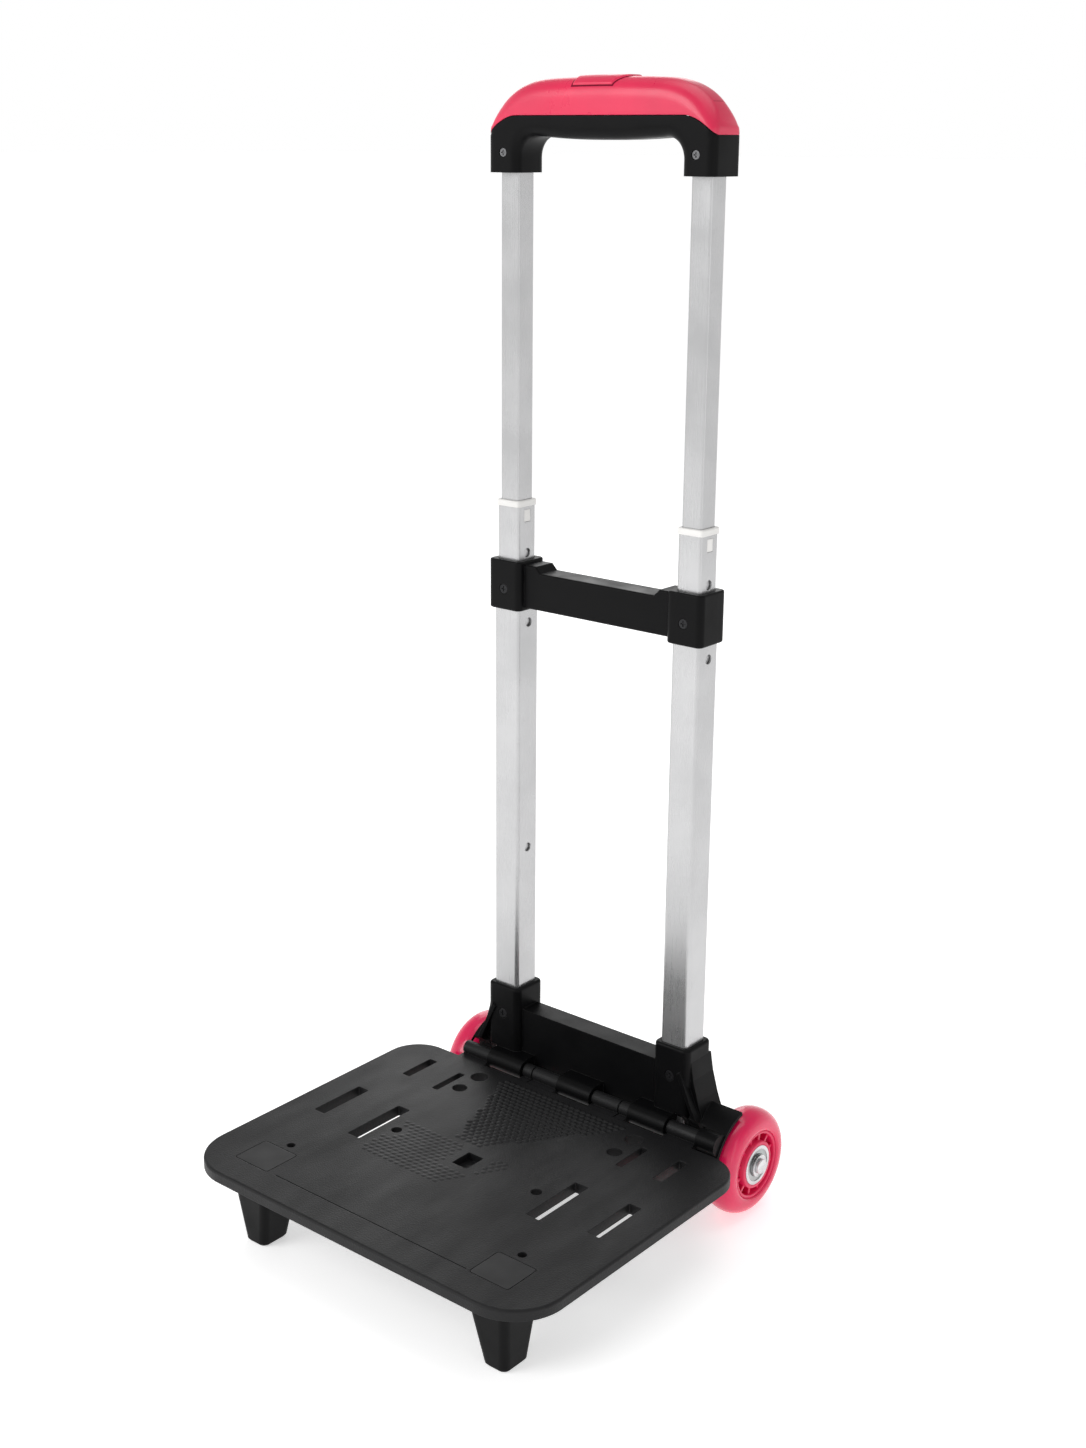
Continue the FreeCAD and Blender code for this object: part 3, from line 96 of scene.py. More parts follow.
def area_light(name, place, aim, size, tall, power):
    """Rectangular soft light turned towards a point."""
    data = bpy.data.lights.new(name, "AREA")
    data.shape = "RECTANGLE"
    data.size = size
    data.size_y = tall
    data.energy = power
    lamp = bpy.data.objects.new(name, data)
    bpy.context.scene.collection.objects.link(lamp)
    lamp.location = place
    lamp.rotation_euler = (Vector(aim) - Vector(place)).to_track_quat("-Z", "Y").to_euler()


def make_sky():
    """Bright band along the horizon that fades to a dimmer sky overhead."""
    world = bpy.data.worlds.new("studio")
    world.use_nodes = True
    tree = world.node_tree
    ground = tree.nodes["Background"]
    ground.inputs["Color"].default_value = (1, 1, 1, 1)
    view = tree.nodes.new("ShaderNodeTexCoord")
    split = tree.nodes.new("ShaderNodeSeparateXYZ")
    fade = tree.nodes.new("ShaderNodeMapRange")
    fade.interpolation_type = "SMOOTHSTEP"
    for socket, value in (("From Min", 0.10), ("From Max", 0.65), ("To Min", 1.0), ("To Max", 0.42)):
        fade.inputs[socket].default_value = value
    tree.links.new(view.outputs["Generated"], split.inputs["Vector"])
    tree.links.new(split.outputs["Z"], fade.inputs["Value"])
    tree.links.new(fade.outputs["Result"], ground.inputs["Strength"])
    bpy.context.scene.world = world


def make_floor():
    """Pale floor with a little light of its own, so that only contact shadows show."""
    mesh = bpy.data.meshes.new("studio_floor")
    half = 60.0
    mesh.from_pydata([(-half, -half, 0), (half, -half, 0), (half, half, 0), (-half, half, 0)], [],
                     [(0, 1, 2, 3)])
    floor = bpy.data.objects.new("studio_floor", mesh)
    bpy.context.scene.collection.objects.link(floor)
    floor.location.z = -0.0003
    paint = bpy.data.materials.new("studio_floor_paint")
    paint.use_nodes = True
    shader = paint.node_tree.nodes["Principled BSDF"]
    shader.inputs["Base Color"].default_value = (0.95, 0.95, 0.95, 1)
    shader.inputs["Roughness"].default_value = 0.8
    shader.inputs["Specular IOR Level"].default_value = 0.1
    shader.inputs["Emission Color"].default_value = (1, 1, 1, 1)
    shader.inputs["Emission Strength"].default_value = 0.53
    mesh.materials.append(paint)


def make_studio():
    middle = (0, 0, 0.3)
    area_light("key_light", (-0.9, -1.9, 1.5), middle, 1.3, 1.3, 22)
    area_light("side_light", (2.0, -0.5, 0.8), middle, 0.5, 1.8, 2)
    area_light("top_light", (0.1, 0.3, 2.1), middle, 1.4, 1.4, 8)
    area_light("back_light", (-1.2, 1.4, 1.0), middle, 0.8, 1.4, 5)
    make_sky()
    make_floor()
    bpy.context.scene.view_settings.view_transform = "Standard"


# ------------------------------------------------------------------ materials
class Nodes:
    """Small helper that adds shader nodes and links their sockets."""

    def __init__(self, name):
        self.material = bpy.data.materials.new(name)
        self.material.use_nodes = True
        self.tree = self.material.node_tree
        self.shader = self.tree.nodes["Principled BSDF"]
        self.place = self.add("ShaderNodeTexCoord").outputs["Object"]

    def add(self, kind, inputs=(), **settings):
        made = self.tree.nodes.new(kind)
        for key, value in settings.items():
            setattr(made, key, value)
        for key, value in dict(inputs).items():
            self.feed(made.inputs[key], value)
        return made

    def feed(self, socket, value):
        if isinstance(value, bpy.types.NodeSocket):
            self.tree.links.new(value, socket)
        else:
            socket.default_value = value

    def stretched(self, scale):
        return self.add("ShaderNodeMapping", {"Vector": self.place, "Scale": scale}).outputs["Vector"]

    def noise(self, scale, detail=3.0, where=None, rough=0.5):
        made = self.add("ShaderNodeTexNoise", {"Vector": where or self.place, "Scale": scale,
                                               "Detail": detail, "Roughness": rough})
        return made.outputs["Fac"]

    def cells(self, scale, feature="F1"):
        made = self.add("ShaderNodeTexVoronoi", {"Vector": self.place, "Scale": scale},
                        feature=feature)
        return made.outputs["Distance"]

    def span(self, value, low, high, start=0.3, end=0.7):
        """Stretches a value's start..end to low..high."""
        return self.add("ShaderNodeMapRange", {"Value": value, "From Min": start, "From Max": end,
                                               "To Min": low, "To Max": high}).outputs["Result"]

    def math(self, operation, a, b):
        return self.add("ShaderNodeMath", {0: a, 1: b}, operation=operation).outputs["Value"]

    def mix(self, amount, a, b):
        made = self.add("ShaderNodeMix", {"Factor": amount}, data_type="RGBA")
        self.feed(made.inputs[6], a)
        self.feed(made.inputs[7], b)
        return made.outputs[2]

    def edges(self, radius):
        """Normals rounded over sharp edges, and a mask of where they differ."""
        soft = self.add("ShaderNodeBevel", {"Radius": radius}, samples=6).outputs["Normal"]
        flat = self.add("ShaderNodeNewGeometry").outputs["Normal"]
        alike = self.add("ShaderNodeVectorMath", {0: soft, 1: flat}, operation="DOT_PRODUCT")
        return soft, self.span(alike.outputs["Value"], 1.0, 0.0, 0.9, 0.999)

    def bump(self, height, strength, distance, under=None):
        made = self.add("ShaderNodeBump", {"Height": height, "Strength": strength,
                                           "Distance": distance})
        if under:
            self.feed(made.inputs["Normal"], under)
        return made.outputs["Normal"]

    def finish(self, **sockets):
        for key, value in sockets.items():
            self.feed(self.shader.inputs[key.replace("_", " ")], value)
        return self.material


def shade(color, factor):
    return tuple(min(1.0, c * factor) for c in color) + (1.0,)


def moulded(name, color, rough, grain=2600, depth=0.00003, edge=0.0006, coat=0.0, worn=1.6, sheen=0.5):
    """Moulded plastic: fine spark-eroded grain, uneven gloss, scuffed and rounded edges."""
    n = Nodes(name)
    soft, mask = n.edges(edge)
    broad = n.noise(14, 4)
    tint = n.mix(n.span(broad, 0, 1), shade(color, 0.88), shade(color, 1.1))
    scuffs = n.math("MULTIPLY", mask, n.span(n.noise(260, 5), 0.0, 0.75, 0.42, 0.72))
    skin = n.noise(grain, 2)
    dents = n.cells(grain * 0.35)
    height = n.math("ADD", skin, n.math("MULTIPLY", dents, 0.6))
    smudge = n.span(n.noise(55, 5), rough - 0.07, rough + 0.08)
    return n.finish(
        Base_Color=n.mix(scuffs, tint, shade(tuple(c + 0.01 for c in color), worn)),
        Roughness=n.math("ADD", smudge, n.math("MULTIPLY", scuffs, 0.12)),
        Normal=n.bump(height, 0.35, depth, n.bump(broad, 0.12, 0.0004, soft)),
        Specular_IOR_Level=sheen, Coat_Weight=coat, Coat_Roughness=0.18)


def deck_skin(name, color):
    """Deck plastic: leathery creases over a fine grain, its gloss varying in broad patches and streaks.
    """
    n = Nodes(name)
    soft, mask = n.edges(0.0007)
    creases = n.cells(620, "DISTANCE_TO_EDGE")
    pads = n.span(creases, 0.0, 1.0, 0.0, 0.28)
    fine = n.noise(2400, 3)
    height = n.math("ADD", pads, n.math("MULTIPLY", fine, 0.5))
    patches = n.noise(11, 5)
    tint = n.mix(n.span(patches, 0, 1), shade(color, 0.86), shade(color, 1.16))
    scuffs = n.math("MULTIPLY", mask, n.span(n.noise(230, 4), 0, 0.7, 0.42, 0.7))
    flow = n.noise(1.0, 4, n.stretched((60, 16, 60)))
    rough = n.math("ADD", n.span(patches, 0.40, 0.52), n.span(flow, -0.05, 0.07))
    return n.finish(
        Base_Color=n.mix(scuffs, tint, shade(color, 1.9)), Roughness=rough,
        Normal=n.bump(height, 0.42, 0.00012, soft), Specular_IOR_Level=0.22)


def foot_plastic(name, color, top_color):
    """Feet: black moulding whose flush heads share the deck's greyer, grained skin."""
    n = Nodes(name)
    soft, mask = n.edges(0.0006)
    facing = n.add("ShaderNodeSeparateXYZ", {0: n.add("ShaderNodeTexCoord").outputs["Normal"]})
    up = n.span(facing.outputs["Z"], 0.0, 1.0, 0.85, 0.95)
    patches = n.noise(11, 5)
    side = n.mix(n.span(patches, 0, 1), shade(color, 0.88), shade(color, 1.12))
    head = n.mix(n.span(patches, 0, 1), shade(top_color, 0.86), shade(top_color, 1.16))
    fine = n.noise(2400, 3)
    return n.finish(
        Base_Color=n.mix(n.math("MULTIPLY", mask, 0.15), n.mix(up, side, head), shade(color, 3.0)),
        Roughness=n.span(n.noise(55, 5), 0.38, 0.50),
        Normal=n.bump(fine, 0.3, 0.00006, soft),
        Specular_IOR_Level=n.span(up, 0.09, 0.22, 0.0, 1.0))


def drawn_aluminium(name):
    """Satin aluminium extrusion: fine lines along its length, cloudy oxide, dull edges."""
    n = Nodes(name)
    soft, mask = n.edges(0.0005)
    lines = n.noise(1.0, 6, n.stretched((2600, 2600, 14)), 0.6)
    cloud = n.noise(26, 5)
    tone = n.mix(n.span(cloud, 0, 1), (0.455, 0.455, 0.46, 1), (0.53, 0.53, 0.535, 1))
    dull = n.math("MULTIPLY", mask, 0.12)
    rough = n.math("ADD", n.math("ADD", n.span(cloud, 0.23, 0.31), n.span(lines, -0.03, 0.04)), dull)
    return n.finish(Base_Color=tone, Metallic=0.85, Roughness=rough,
                    Normal=n.bump(lines, 0.16, 0.00004, soft), Anisotropic=0.35)


def turned_steel(name, color=(0.62, 0.62, 0.63), rough=0.24):
    """Plated or ground steel: faint turning marks and a smudged shine."""
    n = Nodes(name)
    soft, mask = n.edges(0.0003)
    marks = n.noise(1.0, 4, n.stretched((5200, 260, 260)), 0.55)
    cloud = n.noise(120, 4)
    tone = n.mix(n.span(cloud, 0, 1), shade(color, 0.82), shade(color, 1.12))
    dull = n.math("ADD", n.span(cloud, rough - 0.06, rough + 0.1), n.span(marks, -0.03, 0.04))
    return n.finish(Base_Color=n.mix(mask, tone, shade(color, 1.25)), Metallic=1.0, Roughness=dull,
                    Normal=n.bump(marks, 0.12, 0.00003, soft))


def cast_tyre(name, color):
    """Cast polyurethane: glossy, faintly deep, with dust and fine scratches on the tread."""
    n = Nodes(name)
    soft, _ = n.edges(0.0006)
    cloud = n.noise(40, 5)
    tone = n.mix(n.span(cloud, 0, 1), shade(color, 0.93), shade(color, 1.06))
    fine = n.noise(1500, 3)
    scratch = n.noise(1.0, 5, n.stretched((240, 1900, 1900)), 0.65)
    rough = n.math("ADD", n.span(cloud, 0.15, 0.24), n.span(scratch, -0.04, 0.06))
    return n.finish(Base_Color=tone, Roughness=rough, Normal=n.bump(fine, 0.18, 0.00003, soft),
                    Subsurface_Weight=0.06, Subsurface_Scale=0.003, Coat_Weight=0.2,
                    Coat_Roughness=0.12)


PINK = (0.66, 0.014, 0.070)
WHEEL_PINK = (0.74, 0.007, 0.085)
BLACK = (0.0032, 0.0032, 0.0035)
DECK_GREY = (0.0095, 0.0095, 0.0101)
MATERIALS = {
    "black_plastic": moulded("black_moulding", BLACK, 0.40, worn=2.4, sheen=0.09),
    "deck_plastic": deck_skin("deck_skin", DECK_GREY),
    "aluminium_tube": drawn_aluminium("drawn_aluminium"),
    "pale_plastic": moulded("pale_nylon", (0.80, 0.79, 0.77), 0.45, worn=1.0),
    "steel": turned_steel("ground_steel"),
    "dark_steel": turned_steel("blackened_steel", (0.035, 0.035, 0.037), 0.42),
    "pink_plastic": moulded("pink_moulding", PINK, 0.34, 3400, 0.00002, 0.0008, 0.12, 1.15),
    "pink_tyre": cast_tyre("pink_polyurethane", WHEEL_PINK),
}
WHEEL_CORE = moulded("pink_core", WHEEL_PINK, 0.36, 3400, 0.00002, 0.0005, 0.05, 1.2)
FOOT = foot_plastic("foot_moulding", BLACK, DECK_GREY)
# Dark pink laid round the release button as painted shade in the gap of its opening, not a colour of
# the moulding.
PAINTED_GAP_SHADE = moulded("pink_painted_gap_shade", (0.16, 0.004, 0.02), 0.6, sheen=0.1)
SCREW = turned_steel("oiled_screw_steel", (0.16, 0.16, 0.165), 0.42)
SHIELD = turned_steel("bearing_shield_steel", (0.40, 0.42, 0.42), 0.28)


def dress_nodes():
    """Gives every CAD node its slot's material, or a variant of it where the piece differs."""
    for part in frame["record"]["subparts"]:
        node = NODES[part["node"]]
        paint = MATERIALS[part["material_slot"]]
        if part["node"].startswith("wheel_core"):
            paint = WHEEL_CORE
        if part["node"].startswith("bearing_shields"):
            paint = SHIELD
        if part["node"].startswith("foot_"):
            paint = FOOT
        if part["node"] in ("handle_screws", "axle_washers"):
            paint = SCREW
        node.data.materials.clear()
        node.data.materials.append(paint)


# ------------------------------------------------------------------ mesh pieces
def add_piece(name, verts, faces, body, material, smooth=True):
    """A mesh piece that rides on a body and takes its finish from a material slot."""
    mesh = bpy.data.meshes.new(name)
    mesh.from_pydata([tuple(v) for v in verts], [], faces)
    mesh.validate()
    bm = bmesh.new()
    bm.from_mesh(mesh)
    bmesh.ops.recalc_face_normals(bm, faces=bm.faces)
    bm.to_mesh(mesh)
    bm.free()
    mesh.materials.append(material)
    for face in mesh.polygons:
        face.use_smooth = smooth
    piece = bpy.data.objects.new(name, mesh)
    bpy.context.scene.collection.objects.link(piece)
    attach(piece, body)
    return piece


def lathe(name, profile, side, body, material, steps=96):
    """Turns a closed (x, radius) profile, in millimetres from the wheel's middle, about the axle."""
    verts, faces = [], []
    middle = side * (tyre_low.x + tyre_high.x) / 2
    for i in range(steps):
        angle = 2 * math.pi * i / steps
        for x, radius in profile:
            verts.append((middle + x * MM, AXLE.y + radius * MM * math.cos(angle),
                          AXLE.z + radius * MM * math.sin(angle)))
    count = len(profile)
    for i in range(steps):
        for j in range(count):
            a, b = i * count + j, i * count + (j + 1) % count
            c, d = ((i + 1) % steps) * count + (j + 1) % count, ((i + 1) % steps) * count + j
            faces.append((a, b, c, d))
    return add_piece(name, verts, faces, body, material)


def tyre_profile():
    """Round cast tread with a fine mould line, a step at the flank and a rolled inner lip."""
    radius, half, core = WHEEL_R / MM, (tyre_high.x - tyre_low.x) / 2 / MM, 22.5
    flank = core + 2.2
    points = []
    for i in range(33):
        t = math.pi * i / 32
        x = -half * math.cos(t)
        bulge = math.sin(t) ** 0.86
        points.append((x, flank + (radius - flank) * bulge))
    middle = len(points) // 2
    points[middle] = (0, radius - 0.12)
    points += [(half - 0.1, flank - 1.4), (half - 0.9, core + 0.1), (half - 1.8, core)]
    points += [(-half + 1.8, core), (-half + 0.9, core + 0.1), (-half + 0.1, flank - 1.4)]
    return points


def wheel_core(side, word):
    """Moulded core: flanged rim, thin ribs in a deep recess, and a raised bearing seat."""
    half = (tyre_high.x - tyre_low.x) / 2 / MM
    seat, boss, rim_in, rim_out = 13.0, 15.6, 20.4, 22.5
    section = [(half - 0.2, seat), (half - 0.2, boss - 0.5), (half - 0.7, boss), (2.0, boss + 0.5),
               (1.5, boss + 0.8), (1.5, rim_in - 0.4), (2.0, rim_in), (half - 1.6, rim_in),
               (half - 1.0, rim_in + 0.4), (half - 1.0, rim_out)]
    profile = section + [(-x, r) for x, r in reversed(section)]
    body = f"wheel_{word}"
    name = f"wheel_core_{word}"
    core = lathe(f"core_moulding_{word}", profile, side, body, WHEEL_CORE)
    verts, faces = [], []
    middle = side * (tyre_low.x + tyre_high.x) / 2
    ribs = 12
    for i in range(ribs):
        angle = 2 * math.pi * (i + 0.5) / ribs
        along = Vector((0, math.cos(angle), math.sin(angle)))
        across = Vector((0, -math.sin(angle), math.cos(angle)))
        first = len(verts)
        for x in (-half + 2.6, half - 2.6):
            for radius, width in ((boss - 0.4, 1.15), (rim_in + 0.4, 0.95)):
                for way in (-1, 1):
                    verts.append(Vector((middle + x * MM, AXLE.y, AXLE.z)) + along * radius * MM
                                 + across * way * width * MM)
        corners = [(0, 1, 3, 2), (4, 6, 7, 5), (0, 4, 5, 1), (2, 3, 7, 6), (0, 2, 6, 4), (1, 5, 7, 3)]
        faces += [tuple(first + c for c in face) for face in corners]
    ribs_piece = add_piece(f"core_ribs_{word}", verts, faces, body, WHEEL_CORE, False)
    bevel = ribs_piece.modifiers.new("bevel", "BEVEL")
    bevel.width = 0.35 * MM
    bevel.segments = 2
    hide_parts(name)


def make_wheels():
    for side, word in ((-1, "left"), (1, "right")):
        tyre = lathe(f"tyre_cast_{word}", tyre_profile(), side, f"wheel_{word}",
                     MATERIALS["pink_tyre"], 128)
        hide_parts(f"tyre_{word}")
        wheel_core(side, word)


# ------------------------------------------------------------------ handle
grip_low, grip_high = node_box("handle_grip")
cover_low, cover_high = node_box("handle_cover")
HALF = cover_high.x / MM
DEPTH = (cover_high.y - cover_low.y) / 2 / MM
CROWN = cover_high.z / MM
LEG_LOW = grip_low.z / MM
# Lines of the handle in millimetres: legs' insides, gap's ceiling and corner radius, and the
# seam's height in the middle and at the sides, with the width over which it falls.
LEG_IN = 59.5
UNDER = 664.0
CORNER = 12.0
SPLIT = 675.5
SIDE_SPLIT = 665.0
SEAM_FALL = 21.5
SHOULDER = 38.0
SHOULDER_DROP = 29.0
CROWN_FALL = 3.2
TOP_RADIUS = 10.5
SIDE_RADIUS = 5.0
GAP_RADIUS = 6.0
SCREW_Z = 654.5
SEAM_TUCK = 0.45


def smooth_step(t):
    t = max(0.0, min(1.0, t))
    return t * t * (3 - 2 * t)


def handle_top(x):
    """Height of the handle's outer line above x: a gentle crown with broad round shoulders."""
    far = max(0.0, abs(x) - SHOULDER) / (HALF - SHOULDER)
    drop = SHOULDER_DROP * (1 - math.sqrt(max(0.0, 1 - min(1.0, far) ** 2.4)))
    return CROWN - CROWN_FALL * (min(abs(x), HALF) / HALF) ** 2 - drop


def parting(x):
    """Height of the seam between cover and grip: straight, then curving down to the outer sides."""
    fall = max(0.0, abs(x) - HALF + SEAM_FALL) / SEAM_FALL
    return SPLIT - (SPLIT - SIDE_SPLIT) * fall ** 1.8


def under_line(x):
    """Height of the finger gap's ceiling, a little lower in the middle."""
    return UNDER - 2.0 * (1 - (x / (LEG_IN - CORNER)) ** 2)


def outer_point(f):
    """Point of the handle's outer line: f 0 is the left side's split, f 1 the right one's."""
    x = HALF * math.sin((f - 0.5) * math.pi)
    side = 0.04
    if f < side or f > 1 - side:
        rise = min(f, 1 - f) / side
        height = handle_top(HALF * math.cos(side * math.pi)) - SIDE_SPLIT
        return math.copysign(HALF, x), SIDE_SPLIT + height * rise
    return x, max(handle_top(HALF), handle_top(x))


def make_lines():
    """The handle's outer and inner lines as chains of points, used to round its edges."""
    below = LEG_LOW - 30
    outer = [(-HALF, below)] + [outer_point(i / 90) for i in range(91)] + [(HALF, below)]
    inner = [(-LEG_IN, below)] + [gap_point(i / 60) for i in range(61)] + [(LEG_IN, below)]
    return outer, inner


def gap_point(f):
    """Point of the finger gap's line from the left leg's inside, over the gap, to the right leg's."""
    side = -1 if f < 0.5 else 1
    near = min(f, 1 - f)
    if near < 0.2:
        angle = near / 0.2 * math.pi / 2
        return (side * (LEG_IN - CORNER + CORNER * math.cos(angle)),
                UNDER - CORNER + CORNER * math.sin(angle))
    x = (f - 0.5) / 0.3 * (LEG_IN - CORNER)
    return x, under_line(x)


def distance_to(line, x, z):
    """Distance from a point of the front view to a chain of points."""
    best = 1e9
    for (ax, az), (bx, bz) in zip(line, line[1:]):
        dx, dz = bx - ax, bz - az
        t = ((x - ax) * dx + (z - az) * dz) / (dx * dx + dz * dz + 1e-12)
        t = max(0.0, min(1.0, t))
        best = min(best, math.hypot(x - ax - t * dx, z - az - t * dz))
    return best


def rounded_depth(depth, radius, near):
    """Half depth at a distance from an edge that is rounded with a radius."""
    if near >= radius:
        return depth
    return depth - radius + math.sqrt(max(0.0, radius ** 2 - (radius - near) ** 2))


def half_depth(x, z):
    """Half depth of the handle at a point of its front: full inside, rounded at both lines."""
    top_radius = SIDE_RADIUS + (TOP_RADIUS - SIDE_RADIUS) * smooth_step((z - UNDER) / 18)
    outer = rounded_depth(DEPTH, top_radius, distance_to(OUTER_LINE, x, z))
    inner = rounded_depth(DEPTH, GAP_RADIUS, distance_to(INNER_LINE, x, z))
    return min(outer, inner)


def blend_point(a, b, t):
    return a[0] + (b[0] - a[0]) * t, a[1] + (b[1] - a[1]) * t


def arch_ring(start, end, steps, tuck_start, tuck_end):
    """Ring round the handle between two points of its front view, tucked in at a seam."""
    front = []
    for i in range(steps + 1):
        t = 0.5 - 0.5 * math.cos(math.pi * i / steps)
        x, z = blend_point(start, end, t)
        y = half_depth(x, z)
        if (i == 0 and tuck_start) or (i == steps and tuck_end):
            y -= SEAM_TUCK
        front.append((x, y, z))
    ring = [local(x, -y, z) for x, y, z in front]
    return ring + [local(x, y, z) for x, y, z in reversed(front)]


def loft(name, rings, body, material):
    """Joins rings of equal length into one closed skin."""
    verts = [p for ring in rings for p in ring]
    count = len(rings[0])
    faces = []
    for i in range(len(rings) - 1):
        for j in range(count):
            k = (j + 1) % count
            faces.append((i * count + j, i * count + k, (i + 1) * count + k, (i + 1) * count + j))
    last = (len(rings) - 1) * count
    faces += [tuple(range(count - 1, -1, -1)), tuple(range(last, last + count))]
    return add_piece(name, verts, faces, body, material)


def soften(piece, width):
    """Small bevels on hard edges, with shading that keeps the broad faces even."""
    bevel = piece.modifiers.new("bevel", "BEVEL")
    bevel.width = width * MM
    bevel.segments = 3
    bevel.limit_method = "ANGLE"
    bevel.angle_limit = math.radians(40)
    even = piece.modifiers.new("even_normals", "WEIGHTED_NORMAL")
    even.keep_sharp = True
    return piece


def make_cover():
    """Pink cover: from the seam up over the crown, fading out at both outer sides."""
    rings = []
    steps = 96
    for i in range(1, steps):
        f = i / steps
        spread = HALF * math.sin((f - 0.5) * math.pi)
        x = spread * (1 - 0.10 * (1 - abs(spread) / HALF))
        rings.append(arch_ring((x, parting(x) + 0.1), outer_point(f), 14, True, False))
    cover = loft("cover_shell", rings, "inner_stage", MATERIALS["pink_plastic"])
    open_seam(cover)
    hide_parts("handle_cover")


def make_grip():
    """Black grip: two legs and the bar under the cover, with two screw recesses in front."""
    stations = []
    legs = 10
    for i in range(legs + 1):
        t = i / legs
        stations.append(((-LEG_IN, LEG_LOW + (UNDER - CORNER - LEG_LOW) * t),
                         (-HALF, LEG_LOW + (SIDE_SPLIT - LEG_LOW) * t)))
    corner = 14
    for i in range(1, corner + 1):
        t = i / corner
        x = -HALF + (HALF - 60) * t ** 0.85
        stations.append((gap_point(0.2 * t), (x, parting(x) - 0.1)))
    middle = 40
    for i in range(1, middle):
        t = i / middle
        x = -60 + 120 * t
        stations.append((gap_point(0.2 + 0.6 * t), (x, parting(x) - 0.1)))
    left = stations[:legs + corner + 1]
    stations += [((-a[0], a[1]), (-b[0], b[1])) for a, b in reversed(left)]
    rings = [arch_ring(a, b, 12, False, legs < i < len(stations) - legs - 1)
             for i, (a, b) in enumerate(stations)]
    grip = loft("grip_shell", rings, "inner_stage", MATERIALS["black_plastic"])
    drill(grip, [(-TUBE_X / MM, SCREW_Z), (TUBE_X / MM, SCREW_Z)], 2.8, 2.0)
    open_seam(grip)
    soften(grip, 1.2)
    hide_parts("handle_grip")


def drill(piece, spots, radius, depth):
    """Cuts round recesses into a piece's front, at (x, z) spots in millimetres."""
    bm = bmesh.new()
    turn = Matrix.Rotation(math.pi / 2, 4, "X")
    for x, z in spots:
        place = Matrix.Translation(local(x, -DEPTH, z)) @ turn
        bmesh.ops.create_cone(bm, cap_ends=True, segments=40, radius1=radius * MM,
                              radius2=radius * MM, depth=2 * depth * MM, matrix=place)
    mesh = bpy.data.meshes.new("drill")
    bm.to_mesh(mesh)
    bm.free()
    tool = bpy.data.objects.new("drill", mesh)
    bpy.context.scene.collection.objects.link(tool)
    cutting = piece.modifiers.new("recesses", "BOOLEAN")
    cutting.operation = "DIFFERENCE"
    cutting.object = tool
    bpy.context.view_layer.update()
    result = bpy.data.meshes.new_from_object(piece.evaluated_get(bpy.context.evaluated_depsgraph_get()))
    piece.modifiers.remove(cutting)
    piece.data = result
    bpy.data.objects.remove(tool)


def open_seam(piece):
    """Takes away a shell's faces along the seam, which only the button's yoke passes through."""
    bm = bmesh.new()
    bm.from_mesh(piece.data)
    inner = []
    for face in bm.faces:
        middle = face.calc_center_median()
        x, y, z = middle.x / MM, (middle.y - TUBE_Y) / MM, middle.z / MM
        if abs(y) < 1 and abs(x) < HALF - 1 and abs(z - parting(x)) < 1:
            inner.append(face)
    bmesh.ops.delete(bm, geom=inner, context="FACES_ONLY")
    bm.to_mesh(piece.data)
    bm.free()


def crown_point(x, s, rise):
    """Point over the crown, s millimetres back from the patch's front edge, lifted off the skin."""
    radius, flat, start = TOP_RADIUS, DEPTH - TOP_RADIUS, math.radians(30)
    arc = radius * (math.pi / 2 - start)
    top = handle_top(x) - radius
    if s < arc:
        angle = start + s / radius
        y, z = -flat - (radius + rise) * math.cos(angle), top + (radius + rise) * math.sin(angle)
    elif s < arc + 2 * flat:
        y, z = s - arc - flat, top + radius + rise
    else:
        angle = (s - arc - 2 * flat) / radius
        y, z = flat + (radius + rise) * math.sin(angle), top + (radius + rise) * math.cos(angle)
    return local(x, y, z)


def crown_patch(name, grow, lift, body, material):
    """Patch over the crown, its right end cut on a slant; lift gives its height by edge distance."""
    verts, faces = [], []
    columns, rows = 60, 48
    span = 22.0 + 2 * grow
    for i in range(columns + 1):
        for j in range(rows + 1):
            run = span * j / rows
            left = -19.0 - grow
            right = 10.5 + 7.5 * smooth_step(run / 12) + grow
            across = (right - left) * i / columns
            edge = min(across, right - left - across, run, span - run)
            verts.append(crown_point(left + across, run - grow, lift(edge)))
    for i in range(columns):
        for j in range(rows):
            a = i * (rows + 1) + j
            faces.append((a, a + 1, a + rows + 2, a + rows + 1))
    return add_piece(name, verts, faces, body, material)


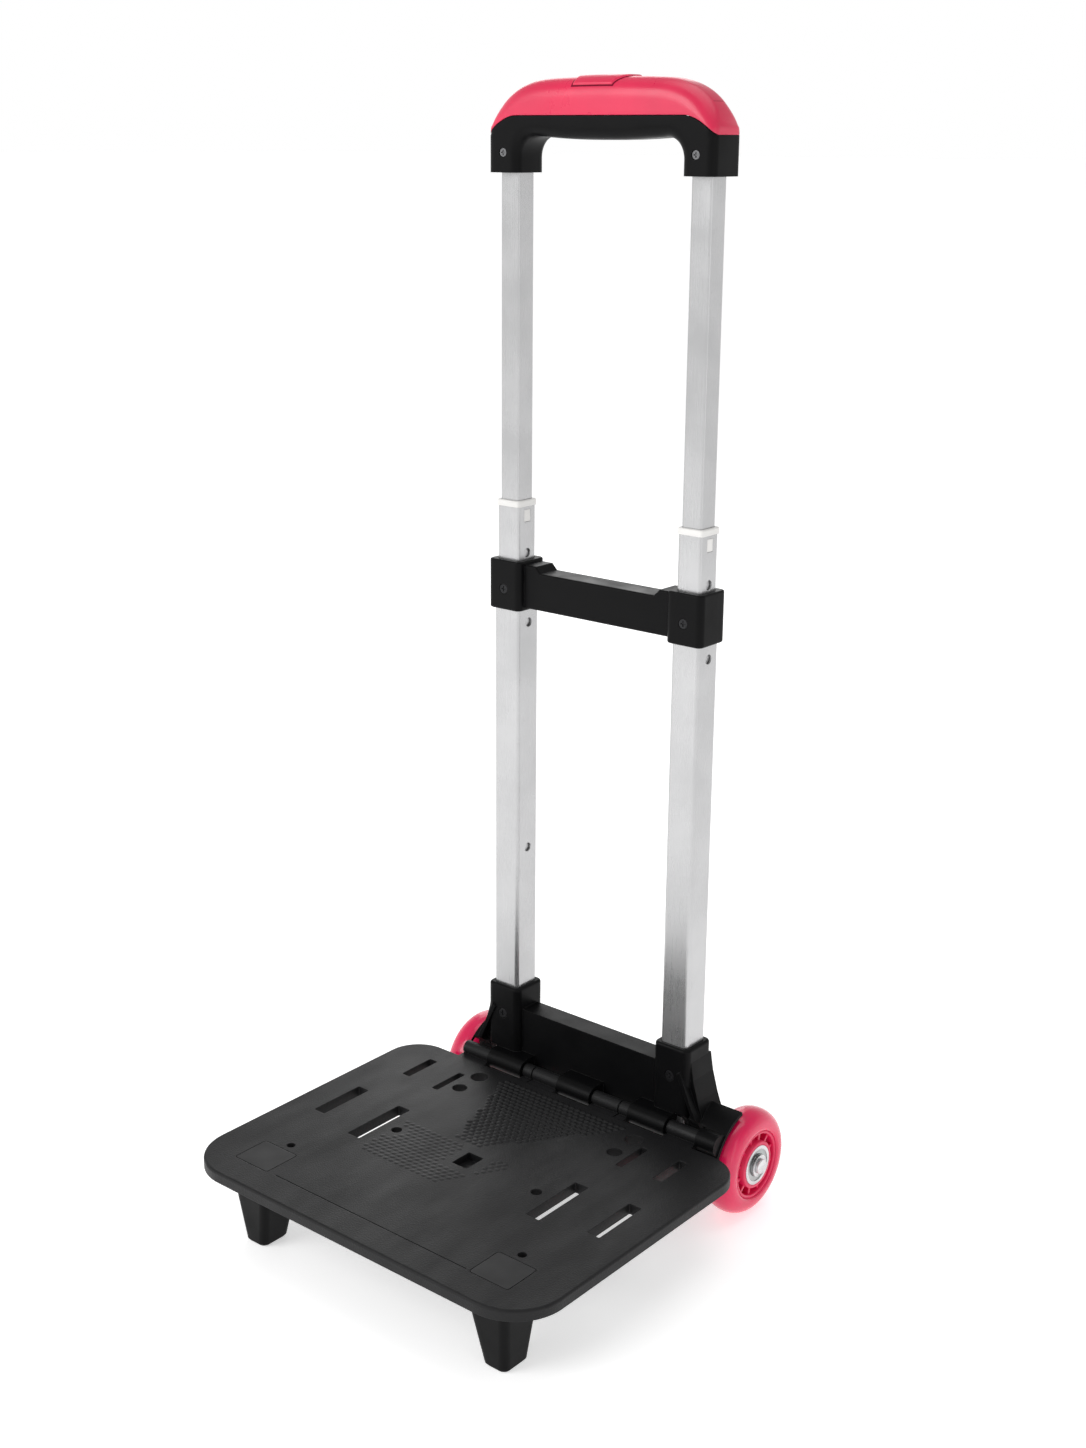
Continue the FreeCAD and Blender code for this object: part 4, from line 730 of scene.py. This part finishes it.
def make_button():
    """Release button, standing proud of the cover, with a dark pink sheet round it as painted shade in
    the gap of its opening.
    """
    button = crown_patch("button_cap", 0, lambda edge: 1.5 * smooth_step(edge / 1.3) - 0.52,
                         "button", MATERIALS["pink_plastic"])
    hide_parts("release_button")
    # Thin dark sheet just above the cover and a little wider than the button: painted shade in the
    # button's gap.
    crown_patch("button_painted_gap_shade", 0.45, lambda edge: 0.08, "inner_stage", PAINTED_GAP_SHADE)


OUTER_LINE, INNER_LINE = make_lines()


# ------------------------------------------------------------------ deck relief
def make_relief():
    """Low moulded scales on the deck: a fan behind the centre and a fainter patch before it."""
    verts, faces = [], []

    def scale_bump(x, y, radius, height):
        first = len(verts)
        sides = 8
        for share, lift in ((1.0, -0.02), (0.72, 0.55), (0.36, 0.92)):
            for k in range(sides):
                angle = 2 * math.pi * k / sides
                verts.append(local(x + radius * share * math.cos(angle) * 1.15,
                                   y + radius * share * math.sin(angle), DECK_TOP / MM + height * lift))
        verts.append(local(x, y, DECK_TOP / MM + height))
        for level in range(2):
            for k in range(sides):
                a, b = first + level * sides + k, first + level * sides + (k + 1) % sides
                faces.append((a, b, b + sides, a + sides))
        top = first + 2 * sides
        for k in range(sides):
            faces.append((top + k, top + (k + 1) % sides, first + 3 * sides))

    pitch = 4.6
    for row in range(34):
        y = -36 - row * pitch * 0.82
        for column in range(-30, 31):
            x = (column + (row % 2) / 2) * pitch
            near_hole = min(math.hypot(abs(x) - 58, y + 131), 99) < 8
            in_fan = y > -112 and -50 + (-36 - y) * 0.35 < x < 54 - (-36 - y) * 0.75
            in_patch = -190 < y < -118 and -62 < x < -8 + (y + 190) * 0.5
            in_cup = -10 < x < 14 and -144 < y < -116
            if in_fan:
                fade = smooth_step((y + 116) / 30)
                scale_bump(x, y, 2.05, 0.35 + 0.40 * fade)
            elif in_patch and not in_cup and not near_hole:
                scale_bump(x, y, 1.8, 0.24)
    relief = add_piece("deck_relief", verts, faces, "deck", MATERIALS["deck_plastic"])
    return relief


def make_pieces():
    make_wheels()
    make_cover()
    make_grip()
    make_button()
    make_relief()


make_camera()
make_studio()
dress_nodes()
make_pieces()
